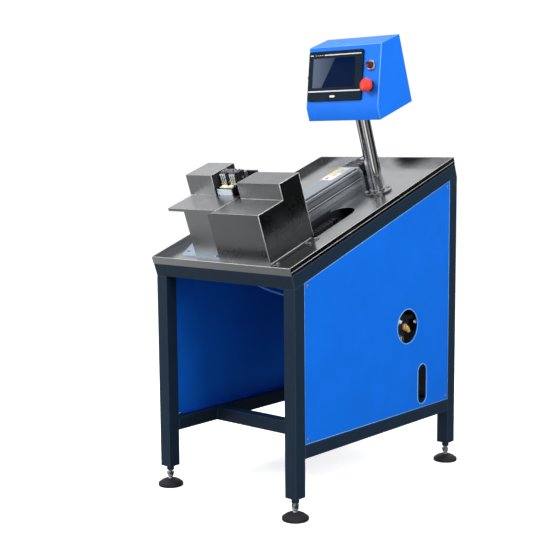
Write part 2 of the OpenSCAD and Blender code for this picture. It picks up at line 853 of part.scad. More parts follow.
module power_button_body() {
  color(CHROME) sloped() box_front() translate([btn_u, 0, btn_h]) barrel(9 + fit, 24);
}

module power_button_cap() {
  color([0.45, 0.02, 0.03]) sloped() box_front() translate([btn_u, 0, btn_h])
    rotate([90, 0, 0]) translate([0, 0, -16]) cylinder(h = 33, r = 9);
}

module estop_base() {
  color([0.70, 0.05, 0.04]) sloped() box_front() translate([btn_u, 0, stop_h])
    barrel(8 + fit, 26);
}

module estop_cap() {
  color([0.86, 0.10, 0.07]) sloped() box_front() translate([btn_u, 0, stop_h])
    rotate([90, 0, 0]) rotate_extrude($fn = 64) polygon([
      [0, -20], [8, -20], [8, 12], [16, 12], [19.5, 15], [20, 19], [19, 24], [15, 28],
      [8, 30], [0, 30.5]
    ]);
}

module side_nub() {
  color(BLUE) sloped() rod_u(box_u0 - 8, box_u0, 548, 385, 6);
}

// ---------- air and electrics ----------

module frl_bracket() {
  color(CHROME) machine() {
    block([255, 60, 497], [258, 210, 509]);
    for (y = [60, 198]) block([257.5, y, 497], [skin - sheet, y + 12, 509]);
  }
}

module frl_body() {
  color(BLACK) machine() difference() {
    union() {
      block([207, 108, 452], [255, 156, 510]);
      translate([231, 132, 509]) cylinder(h = 5, r = 19);
      block([216, 156, 466], [246, 168, 490]);
    }
    translate([250, 132, 475]) rotate([0, 90, 0]) cylinder(h = 10, r = 9);
    translate([231, 132, 500]) cylinder(h = 20, r = 8 + fit);
  }
}

module frl_bowl() {
  color([0.75, 0.82, 0.86]) machine() translate([231, 132, 0]) rotate_extrude() polygon([
    [0, 392], [5, 392], [8, 398], [16, 404], [19, 412], [19, 452], [16, 452], [16, 414],
    [13, 407], [0, 403]
  ]);
}

module frl_knob() {
  color([0.15, 0.15, 0.16]) machine() translate([231, 132, 0]) {
    translate([0, 0, 501]) cylinder(h = 15, r = 8);
    translate([0, 0, 514.2]) cylinder(h = 30, r = 18);
  }
}

module air_inlet() {
  color([0.78, 0.60, 0.25]) machine() translate([250, 132, 475]) rotate([0, 90, 0]) {
    difference() {
      union() {
        cylinder(h = 6, r = 9);
        translate([0, 0, 5.2]) cylinder(h = 7, r = 11, $fn = 6);
        cylinder(h = 22, r = 7);
      }
      translate([0, 0, 8]) cylinder(h = 20, r = 4);
    }
  }
}

module valve_manifold() {
  color([0.30, 0.31, 0.33]) machine() {
    block([228, -330, 598], [skin - sheet, -262, 632]);
    for (i = [0 : 2]) block([233, -326 + i * 22, 631.5], [262, -308 + i * 22, 656]);
    for (start = [lower_route[0], upper_route[0]])
      translate(start) rotate([0, 90, 0]) cylinder(h = 228.2 - start[0], r = 6.5);
  }
}

function unit(a) = a / norm(a);

// Direction of a route at point i.
function heading(route, i) =
  unit(route[min(i + 1, len(route) - 1)] - route[max(i - 1, 0)]);

// Vector square to the direction t, nearest to n.
function square_to(n, t) = unit(n - (n * t) * t);

// Tube of one closed skin, swept along the points of a route.
module hose(route, r) {
  sides = 12;
  last = len(route) - 1;
  sideways = [
    for (i = 0, n = square_to([0, 0, 1], heading(route, 0)); i <= last;
         i = i + 1, n = i <= last ? square_to(n, heading(route, i)) : n) n
  ];
  skin_points = [
    for (i = [0 : last]) for (k = [0 : sides - 1])
      let (n = sideways[i], m = cross(heading(route, i), n), turn = 360 * k / sides)
        route[i] + r * (cos(turn) * n + sin(turn) * m)
  ];
  walls = [
    for (i = [0 : last - 1]) for (k = [0 : sides - 1])
      let (a = i * sides + k, b = i * sides + (k + 1) % sides)
        each [[a, b + sides, b], [a, a + sides, b + sides]]
  ];
  ends = [[for (k = [0 : sides - 1]) k], [for (k = [sides - 1 : -1 : 0]) last * sides + k]];
  polyhedron(skin_points, concat(walls, ends), convexity = 6);
}

module air_hose_lower() {
  color(BLUE) machine() hose(lower_route, hose_d / 2);
}

module air_hose_upper() {
  color(BLUE) machine() hose(upper_route, hose_d / 2);
}

module electrics() {
  color([0.62, 0.64, 0.66]) machine() {
    block([-190, 338, low_top], [220, 341, 700]);
    block([20, 258, 430], [86, 338.5, 600]);
    block([110, 288, 430], [200, 338.5, 610]);
    block([-160, 298, 450], [-20, 338.5, 540]);
    for (i = [0 : 7]) block([-160 + i * 16, 308, 600], [-148 + i * 16, 338.5, 650]);
  }
}

legs();
side_rails();
cross_rails();
foot_pads();
foot_stem_fl();
foot_stem_fr();
foot_stem_rl();
foot_stem_rr();
panel_tabs();
left_panel();
right_panel();
rear_panel();
m6_screws();
tray();
right_cover();
left_cover();
left_base_plate();
module_body();
module_cover();
module_ends();
ball_screw();
carriage();
motor_mount();
motor();
head_post();
guide_block();
guide_strip();
v_rest();
clamp_body();
clamp_jaw_left();
clamp_jaw_right();
blade_arm();
blade_body();
blade_holder_left();
blade_holder_right();
blade_left();
blade_right();
chain_bracket();
chain_upper();
chain_trough();
column();
column_flange();
box_shell();
swivel_hub();
hmi_bezel();
hmi_screen();
power_button_body();
power_button_cap();
estop_base();
estop_cap();
side_nub();
frl_bracket();
frl_body();
frl_bowl();
frl_knob();
air_inlet();
valve_manifold();
air_hose_lower();
air_hose_upper();
electrics();
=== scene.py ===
"""Cable jacket stripper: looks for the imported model. Metres, in the model's own frame.

X is the operator's right, Y runs to the rear and Z is up. The table, its head, its linear
module and the column share one sloped frame: U across, V up the slope, W square to it.
"""

import math

import bmesh
import bpy
from mathutils import Matrix, Vector


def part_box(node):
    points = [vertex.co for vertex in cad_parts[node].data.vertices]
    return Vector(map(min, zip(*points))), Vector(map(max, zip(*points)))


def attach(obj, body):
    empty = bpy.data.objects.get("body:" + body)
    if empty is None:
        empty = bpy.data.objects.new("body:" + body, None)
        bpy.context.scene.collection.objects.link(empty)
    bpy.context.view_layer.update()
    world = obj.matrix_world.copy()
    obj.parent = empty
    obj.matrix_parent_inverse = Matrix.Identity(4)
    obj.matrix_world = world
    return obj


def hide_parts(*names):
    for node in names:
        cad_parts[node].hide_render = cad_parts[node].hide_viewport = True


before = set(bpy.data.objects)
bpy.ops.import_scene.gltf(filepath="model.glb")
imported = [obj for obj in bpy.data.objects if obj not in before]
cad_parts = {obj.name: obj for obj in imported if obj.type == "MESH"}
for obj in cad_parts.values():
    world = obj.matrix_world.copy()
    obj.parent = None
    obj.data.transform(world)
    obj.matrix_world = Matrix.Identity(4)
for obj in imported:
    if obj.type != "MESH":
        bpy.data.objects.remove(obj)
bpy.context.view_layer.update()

MM = 0.001
SLOPE = math.radians(19.5)
LIP_H = 22 * MM

# ---------- places ----------


def table_frame():
    """Matrix of the sloped frame, from the tray's box: its origin is the front edge's underside."""
    low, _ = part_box("tray")
    origin = Vector((0, low.y + LIP_H * math.sin(SLOPE), low.z))
    return Matrix.Translation(origin) @ Matrix.Rotation(SLOPE, 4, "X")


TABLE = table_frame()
BOX_V0 = 497 * MM
BOX_CHIN_W = 306 * MM
FRONT_LEAN = math.atan2(76, 162)
FRONT = TABLE @ Matrix.Translation((0, BOX_V0, BOX_CHIN_W)) @ Matrix.Rotation(-FRONT_LEAN, 4, "X")
LEGS_LOW, LEGS_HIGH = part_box("legs")
MACHINE = Matrix.Translation((0, (LEGS_LOW.y + LEGS_HIGH.y) / 2, 0))

# Centres in the sloped frame, in millimetres.
COLUMN = (140, 600)
MODULE_U = 16
HEAD_U = -86

RIGHT, LEFT, REARWARD, FORWARD, UP, DOWN = (1, 0, 0), (-1, 0, 0), (0, 1, 0), (0, -1, 0), (0, 0, 1), (0, 0, -1)


def on_machine(x, y, z):
    """Point of the upright machine frame, given in millimetres, in the row frame."""
    return MACHINE @ (Vector((x, y, z)) * MM)


# ---------- camera ----------


def photo_camera():
    """Camera at the photograph's viewing angle: right of the front, a little above the table."""
    azimuth, elevation, roll = math.radians(40.86), math.radians(7.31), math.radians(-0.42)
    distance, aim = 3.483, Vector((0, 0, 0.5))
    focal_share, centre_shift = 1117.6 / 538, 16 / 538
    back = Vector((
        math.sin(azimuth) * math.cos(elevation),
        -math.cos(azimuth) * math.cos(elevation),
        math.sin(elevation),
    ))
    right = Vector((math.cos(azimuth), math.sin(azimuth), 0))
    up = back.cross(right)
    place = aim - 0.0829 * right + 0.0979 * up + distance * back
    turned_right = math.cos(roll) * right + math.sin(roll) * up
    turned_up = back.cross(turned_right)
    camera = bpy.data.objects.new("photo_camera", bpy.data.cameras.new("photo_camera"))
    camera.matrix_world = Matrix((turned_right, turned_up, back)).transposed().to_4x4()
    camera.location = place
    camera.data.sensor_width = 36
    camera.data.lens = 36 * focal_share
    camera.data.shift_x = -centre_shift
    camera.data.shift_y = centre_shift
    camera.data.clip_end = 100
    bpy.context.scene.collection.objects.link(camera)
    bpy.context.scene.camera = camera


photo_camera()

# ---------- materials ----------


def add_node(tree, kind, inputs=None, **settings):
    """Adds a shader node; an input is a value or another node's output."""
    node = tree.nodes.new("ShaderNode" + kind)
    for key, value in settings.items():
        setattr(node, key, value)
    for key, value in (inputs or {}).items():
        if isinstance(value, bpy.types.NodeSocket):
            tree.links.new(value, node.inputs[key])
        else:
            node.inputs[key].default_value = value
    return node


class Nodes:
    """A new material's shader tree."""

    def __init__(self, name):
        self.material = bpy.data.materials.new(name)
        self.material.use_nodes = True
        self.tree = self.material.node_tree
        self.shader = self.tree.nodes["Principled BSDF"]
        self.coordinates = self.tree.nodes.new("ShaderNodeTexCoord").outputs["Object"]

    def add(self, kind, inputs=None, **settings):
        return add_node(self.tree, kind, inputs, **settings)

    def set(self, **values):
        for key, value in values.items():
            socket = self.shader.inputs[key.replace("_", " ")]
            if isinstance(value, bpy.types.NodeSocket):
                self.tree.links.new(value, socket)
            else:
                socket.default_value = value
        return self

    def placed(self, scale=(1, 1, 1), tilt=0.0):
        return self.add(
            "Mapping",
            {"Vector": self.coordinates, "Rotation": (-tilt, 0, 0), "Scale": scale},
        ).outputs["Vector"]

    def noise(self, scale, vector=None, detail=3.0, rough=0.5):
        inputs = {"Scale": scale, "Detail": detail, "Roughness": rough}
        inputs["Vector"] = vector or self.coordinates
        return self.add("TexNoise", inputs).outputs["Fac"]

    def spread(self, value, low, high, from_low=0.3, from_high=0.7):
        inputs = {
            "Value": value, "From Min": from_low, "From Max": from_high,
            "To Min": low, "To Max": high,
        }
        return self.add("MapRange", inputs).outputs["Result"]

    def shade(self, colour, factor):
        """Colour times a grey factor."""
        node = self.add("Mix", data_type="RGBA", blend_type="MULTIPLY")
        node.inputs[0].default_value = 1
        node.inputs[6].default_value = (*colour, 1)
        self.tree.links.new(factor, node.inputs[7])
        return node.outputs[2]

    def blend(self, a, b, factor):
        node = self.add("Mix", data_type="RGBA")
        for socket, value in ((node.inputs[6], a), (node.inputs[7], b), (node.inputs[0], factor)):
            if isinstance(value, bpy.types.NodeSocket):
                self.tree.links.new(value, socket)
            else:
                socket.default_value = (*value, 1) if isinstance(value, tuple) else value
        return node.outputs[2]

    def bump(self, height, distance, strength=1.0, under=None):
        inputs = {"Height": height, "Distance": distance, "Strength": strength}
        if under:
            inputs["Normal"] = under
        return self.add("Bump", inputs).outputs["Normal"]


def powder_coat(name, colour, worn, rough=0.42, peel=0.00006):
    """Sprayed and baked paint: orange peel, slight mottling and a few tiny rubbed specks."""
    n = Nodes(name)
    mottled = n.shade(colour, n.spread(n.noise(9), 0.95, 1.05))
    specks = n.spread(n.noise(260, detail=4, rough=0.65), 0, 0.7, 0.72, 0.80)
    n.set(
        Base_Color=n.blend(mottled, worn, specks),
        Roughness=n.spread(n.noise(30), rough - 0.04, rough + 0.06),
        Normal=n.bump(n.noise(420, detail=2), peel, 0.5),
    )
    n.shader.inputs["Specular IOR Level"].default_value = 0.3
    return n.material


def brushed_steel(name, colour, tilt=0.0, grain=(9, 700, 700), rough=0.3, streak=0.12, metal=1.0):
    """Sheet brushed along its grain, with soft stains and smears."""
    n = Nodes(name)
    lines = n.noise(1, n.placed(grain, tilt), detail=3, rough=0.6)
    stains = n.noise(5, n.placed((1, 1, 1), tilt), detail=2, rough=0.4)
    tone = n.add("Math", {0: n.spread(lines, 1 - streak, 1 + streak), 1: n.spread(stains, 0.93, 1.06)},
                 operation="MULTIPLY")
    smears = n.noise(16, detail=3, rough=0.5)
    n.set(
        Base_Color=n.shade(colour, tone.outputs[0]),
        Metallic=metal,
        Roughness=n.spread(smears, rough - 0.04, rough + 0.06),
        Normal=n.bump(n.noise(1, n.placed(grain, tilt), detail=1), 0.000008, 0.4),
    )
    return n.material


def polished(name, colour, rough=0.06, ripple=0.15):
    """Chrome plate: nearly a mirror, with faint waviness and wiping marks."""
    n = Nodes(name)
    n.set(
        Base_Color=n.shade(colour, n.spread(n.noise(18), 0.94, 1.04)),
        Metallic=1.0,
        Roughness=n.spread(n.noise(90, detail=5, rough=0.7), rough * 0.6, rough * 1.8),
        Normal=n.bump(n.noise(60, detail=1), 0.0001, ripple),
    )
    return n.material


def anodised(name, colour, tilt=0.0, rough=0.36):
    """Extruded and anodised aluminium: fine matt etch over long die lines."""
    n = Nodes(name)
    die_lines = n.noise(1, n.placed((600, 4, 600), tilt), detail=3, rough=0.6)
    etch = n.noise(1600, detail=2)
    n.set(
        Base_Color=n.shade(colour, n.spread(die_lines, 0.93, 1.06)),
        Metallic=0.85,
        Roughness=n.spread(etch, rough - 0.05, rough + 0.06),
        Normal=n.bump(etch, 0.00003, 0.5, n.bump(die_lines, 0.00005, 0.4)),
    )
    return n.material


def moulded(name, colour, rough=0.5, texture=0.00004, grains=1400, coat=0.0, gloss=0.5):
    """Moulded plastic or rubber: spark-eroded texture, small tone changes, rubbed patches."""
    n = Nodes(name)
    grain = n.noise(grains, detail=2)
    tone = n.shade(colour, n.spread(n.noise(25, detail=4), 0.88, 1.1))
    light = tuple(min(1, c * 1.5 + 0.02 * gloss) for c in colour)
    rubbed = n.spread(n.noise(70, detail=5, rough=0.7), 0, 0.35, 0.58, 0.75)
    n.set(
        Base_Color=n.blend(tone, light, rubbed),
        Roughness=n.spread(n.noise(45, detail=4), rough - 0.06, rough + 0.08),
        Normal=n.bump(grain, texture, 0.6),
    )
    n.shader.inputs["Specular IOR Level"].default_value = gloss
    n.shader.inputs["Coat Weight"].default_value = coat
    n.shader.inputs["Coat Roughness"].default_value = 0.05
    return n.material


def zinc(name, colour, rough=0.34):
    """Zinc plate: bluish, with faint crystals."""
    n = Nodes(name)
    crystals = n.add("TexVoronoi", {"Vector": n.coordinates, "Scale": 260}).outputs["Distance"]
    n.set(
        Base_Color=n.shade(colour, n.spread(crystals, 0.9, 1.05, 0, 0.8)),
        Metallic=0.95,
        Roughness=n.spread(n.noise(50, detail=4), rough - 0.08, rough + 0.1),
        Normal=n.bump(crystals, 0.00002, 0.4),
    )
    return n.material


def clear_plastic(name, colour, rough=0.08):
    """Clear polycarbonate with a slight haze."""
    n = Nodes(name)
    n.set(
        Base_Color=n.shade(colour, n.spread(n.noise(30), 0.95, 1.02)),
        Roughness=n.spread(n.noise(120, detail=4), rough * 0.6, rough * 1.6),
        Transmission_Weight=0.85,
        IOR=1.58,
    )
    return n.material


def screen_glass(name):
    """Switched-off display behind glass: navy, with a painted reflection as a lighter slanted band at its
    left.
    """
    n = Nodes(name)
    low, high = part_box("hmi_screen")
    across = n.add("SeparateXYZ", {"Vector": n.coordinates})
    left, width = low.x, high.x - low.x
    lean = 0.30 * width / (high.z - low.z)
    edge_x = n.add("Math", {0: across.outputs["Z"], 1: -low.z}, operation="ADD")
    slant = n.add("Math", {0: edge_x.outputs[0], 1: -lean, 2: across.outputs["X"]}, operation="MULTIPLY_ADD")
    start = left + 0.22 * width
    # lighter slanted band: a painted reflection on the glass
    band = n.spread(slant.outputs[0], 1, 0, start - 0.0008, start + 0.0008)
    fade = n.spread(across.outputs["X"], 1.0, 0.25, left, left + 0.55 * width)
    painted_reflection = n.add("Math", {0: band, 1: fade}, operation="MULTIPLY").outputs[0]
    dark = n.shade((0.0008, 0.0085, 0.040), n.spread(n.noise(20), 0.9, 1.1))
    n.set(
        Base_Color=n.blend(dark, (0.10, 0.13, 0.18), painted_reflection),
        Roughness=n.spread(n.noise(60, detail=4), 0.05, 0.12),
        Normal=n.bump(n.noise(900), 0.00001, 0.2),
    )
    n.shader.inputs["Specular IOR Level"].default_value = 0.03
    return n.material


# Material name: what its recipe is given after the name.
RECIPES = {
    powder_coat: {
        "dark_paint": ((0.0120, 0.027, 0.050), (0.05, 0.07, 0.10), 0.40),
        "blue_paint": ((0.0045, 0.163, 0.80), (0.09, 0.36, 0.95), 0.42),
        # lighter blue for the rounded and folded edges of the blue paint: a painted highlight
        "blue_edge": ((0.20, 0.48, 0.95), (0.30, 0.60, 1.0), 0.35),
        # lighter dark paint for the rounded edges of the frame and dark parts: a painted highlight
        "dark_edge": ((0.035, 0.055, 0.08), (0.10, 0.12, 0.15), 0.38),
        "black_metal": ((0.012, 0.013, 0.015), (0.10, 0.10, 0.11), 0.36),
        # blue of the control box, lighter and paler than the panels' blue: painted sheen on its front
        "box_paint": ((0.0115, 0.186, 0.88), (0.12, 0.42, 0.98), 0.40),
    },
    brushed_steel: {
        "stainless": ((0.50, 0.51, 0.515), SLOPE, (9, 700, 700), 0.30, 0.05),
        # light steel for the rounded edges of the stainless and zinc parts: a painted highlight
        "steel_edge": ((0.85, 0.86, 0.87), SLOPE, (60, 900, 900), 0.22, 0.05),
        "jaw_steel": ((0.93, 0.93, 0.92), SLOPE, (90, 90, 20), 0.26, 0.03, 0.35),
        "blade_steel": ((0.66, 0.67, 0.69), SLOPE, (700, 300, 20), 0.14, 0.06),
        "brass": ((0.95, 0.66, 0.22), 0.0, (200, 200, 200), 0.26, 0.06, 0.45),
        "tray_steel": ((0.50, 0.51, 0.52), SLOPE, (9, 700, 700), 0.20, 0.05),
        # steel of the clamp jaws, much darker than the other steel
        "worn_steel": ((0.20, 0.205, 0.21), SLOPE, (60, 60, 12), 0.34, 0.10, 0.8),
        # darker copy of the stainless for the right cover: painted shade
        "dark_stainless": ((0.34, 0.345, 0.355), SLOPE, (9, 700, 700), 0.28, 0.05),
        # light, half diffuse steel for seams and thin lines: painted highlight lines
        "seam_steel": ((0.86, 0.87, 0.88), SLOPE, (60, 300, 300), 0.40, 0.05, 0.45),
        "bright_zinc": ((0.95, 0.95, 0.94), 0.0, (300, 300, 300), 0.35, 0.05, 0.2),
        "stripe_silver": ((0.80, 0.79, 0.82), SLOPE, (90, 900, 900), 0.35, 0.05, 0.2),
    },
    zinc: {
        "zinc_plate": ((0.60, 0.72, 0.86),),
        "zinc_screw": ((0.74, 0.76, 0.78), 0.26),
    },
    polished: {
        "chrome": ((0.80, 0.81, 0.83),),
        "worn_chrome": ((0.42, 0.42, 0.41), 0.12, 0.25),
    },
    anodised: {
        "anodised": ((0.46, 0.51, 0.56), SLOPE),
        # light aluminium for the rounded edges and strips of the anodised parts: a painted highlight
        "anodised_edge": ((0.80, 0.84, 0.88), SLOPE, 0.28),
        "grey_anodised": ((0.10, 0.105, 0.11), SLOPE, 0.32),
    },
    moulded: {
        "rubber": ((0.016, 0.017, 0.019), 0.55, 0.00006, 900),
        "black_plastic": ((0.012, 0.014, 0.018), 0.42),
        "guide_white": ((0.80, 0.88, 0.97), 0.38, 0.00002),
        "cream": ((0.94, 0.92, 0.62), 0.42, 0.00003),
        "estop_red": ((0.78, 0.045, 0.03), 0.34, 0.00002, 1200, 0.3),
        "panel_plastic": ((0.0050, 0.0155, 0.029), 0.34, 0.00002, 1400, 0.0, 0.12),
        "chain_plastic": ((0.030, 0.034, 0.040), 0.26, 0.00001),
        "estop_ring": ((0.22, 0.012, 0.012), 0.4),
        "lens_red": ((0.11, 0.001, 0.004), 0.16, 0.00001, 900, 0.6),
        "blue_hose": ((0.05, 0.27, 1.0), 0.22, 0.00001, 700, 0.4),
        # near-black colour of the electrics: painted shade inside the frame
        "electrics_grey": ((0.014, 0.017, 0.020), 0.5),
        "duct_grey": ((0.10, 0.105, 0.11), 0.5),
        "label_white": ((0.80, 0.80, 0.79), 0.4, 0.00001, 900),
        "label_yellow": ((0.84, 0.70, 0.10), 0.4, 0.00001, 900),
        "label_red": ((0.62, 0.06, 0.05), 0.4, 0.00001, 900),
        "label_grey": ((0.20, 0.20, 0.21), 0.4, 0.00001, 900),
    },
    clear_plastic: {
        "clear_bowl": ((0.80, 0.88, 0.92),),
    },
    screen_glass: {
        "screen_glass": (),
    },
}
MATERIALS = {
    name: recipe(name, *values)
    for recipe, group in RECIPES.items() for name, values in group.items()
}

# ---------- carried-over model nodes ----------


# (material, material of the rounded edges, radius of the edges in millimetres): nodes. Most edge materials
# are lighter copies that paint a highlight along the edges.
FINISHES = {
    ("dark_paint", "dark_edge", 2.2): "legs side_rails cross_rails",
    ("dark_paint", "dark_edge", 0.4): "panel_tabs",
    ("blue_paint", "blue_edge", 0.5): "left_panel right_panel rear_panel",
    ("zinc_screw", "zinc_screw", 0.2): "m6_screws",
    ("rubber", "rubber", 1.0): "foot_pads",
    ("chrome", "chrome", 0.3): "foot_stem_fl foot_stem_fr foot_stem_rl foot_stem_rr power_button_body",
    ("tray_steel", "steel_edge", 0.5): "tray",
    # the right cover takes the darker copy of the stainless: painted shade
    ("dark_stainless", "steel_edge", 0.5): "right_cover",
    ("stainless", "steel_edge", 0.5): "left_cover",
    ("zinc_plate", "steel_edge", 0.4): "left_base_plate chain_bracket",
    ("anodised", "anodised_edge", 0.5): "module_body module_cover carriage",
    ("anodised", "anodised_edge", 0.8): "module_ends",
    ("jaw_steel", "jaw_steel", 0.3): "ball_screw",
    ("black_metal", "black_metal", 0.6): "motor_mount",
    ("black_metal", "black_metal", 1.5): "motor",
    ("black_metal", "dark_edge", 0.5): "head_post blade_arm",
    ("guide_white", "guide_white", 0.8): "guide_block",
    ("black_plastic", "black_plastic", 0.3): "guide_strip",
    ("cream", "cream", 0.5): "v_rest",
    ("grey_anodised", "anodised_edge", 0.5): "clamp_body blade_body",
    ("worn_steel", "steel_edge", 0.4): "clamp_jaw_left clamp_jaw_right",
    ("anodised", "anodised_edge", 0.4): "blade_holder_left blade_holder_right",
    ("blade_steel", "steel_edge", 0.2): "blade_left blade_right",
    ("black_plastic", "black_plastic", 0.5): "chain_upper",
    ("black_metal", "dark_edge", 0.3): "chain_trough",
    ("chrome", "chrome", 0.5): "column",
    ("worn_chrome", "chrome", 0.6): "column_flange",
    # the control box takes the lighter, paler blue: painted sheen
    ("box_paint", "blue_edge", 1.2): "box_shell",
    ("black_metal", "dark_edge", 1.0): "swivel_hub",
    ("panel_plastic", "panel_plastic", 1.0): "hmi_bezel",
    ("screen_glass", "screen_glass", 0.2): "hmi_screen",
    ("lens_red", "lens_red", 1.2): "power_button_cap",
    ("estop_ring", "estop_ring", 0.3): "estop_base",
    ("estop_red", "estop_red", 0.8): "estop_cap",
    ("blue_paint", "blue_edge", 0.8): "side_nub",
    ("black_metal", "black_metal", 0.3): "frl_bracket",
    ("black_plastic", "black_plastic", 1.5): "frl_body",
    ("clear_bowl", "clear_bowl", 0.4): "frl_bowl",
    ("black_plastic", "black_plastic", 1.2): "frl_knob",
    ("brass", "brass", 0.4): "air_inlet",
    ("grey_anodised", "anodised_edge", 0.6): "valve_manifold",
    # the electrics in near black: painted shade
    ("electrics_grey", "electrics_grey", 0.8): "electrics",
}


def round_edges(obj, radius, segments=2):
    """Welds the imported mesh, merges its flat triangles and rounds its edges, all as modifiers."""
    weld = obj.modifiers.new("weld", "WELD")
    weld.merge_threshold = 0.00001
    flat = obj.modifiers.new("flat", "DECIMATE")
    flat.decimate_type = "DISSOLVE"
    flat.angle_limit = math.radians(0.3)
    bevel = obj.modifiers.new("bevel", "BEVEL")
    bevel.width = radius
    bevel.segments = segments
    bevel.limit_method = "ANGLE"
    bevel.angle_limit = math.radians(28)
    # the rounded edges take the second material, mostly a lighter one that paints their highlight
    bevel.material = 1
    bevel.use_clamp_overlap = True
    weighted = obj.modifiers.new("weighted", "WEIGHTED_NORMAL")
    weighted.keep_sharp = False
    weighted.weight = 60


def finish_nodes():
    """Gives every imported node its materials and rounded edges."""
    for (face, edge, radius), nodes in FINISHES.items():
        for node in nodes.split():
            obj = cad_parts[node]
            mesh = obj.data
            mesh.materials.clear()
            mesh.materials.append(MATERIALS[face])
            mesh.materials.append(MATERIALS[edge])
            mesh.polygons.foreach_set("use_smooth", [True] * len(mesh.polygons))
            mesh.polygons.foreach_set("material_index", [0] * len(mesh.polygons))
            round_edges(obj, radius * MM)


finish_nodes()

# ---------- mesh building ----------


def towards(direction):
    """Turn that points local Z along a direction."""
    return Vector(UP).rotation_difference(Vector(direction)).to_matrix().to_4x4()


def circle(count):
    """(cosine, sine) of evenly spaced turns."""
    turns = [2 * math.pi * k / count for k in range(count)]
    return [(math.cos(t), math.sin(t)) for t in turns]


def octagon(x0, z0, x1, z1, cut, cut_z=None):
    """Rectangle with its four corners cut off."""
    up = cut if cut_z is None else cut_z
    return [(x0, z0 + up), (x0 + cut, z0), (x1 - cut, z0), (x1, z0 + up),
            (x1, z1 - up), (x1 - cut, z1), (x0 + cut, z1), (x0, z1 - up)]


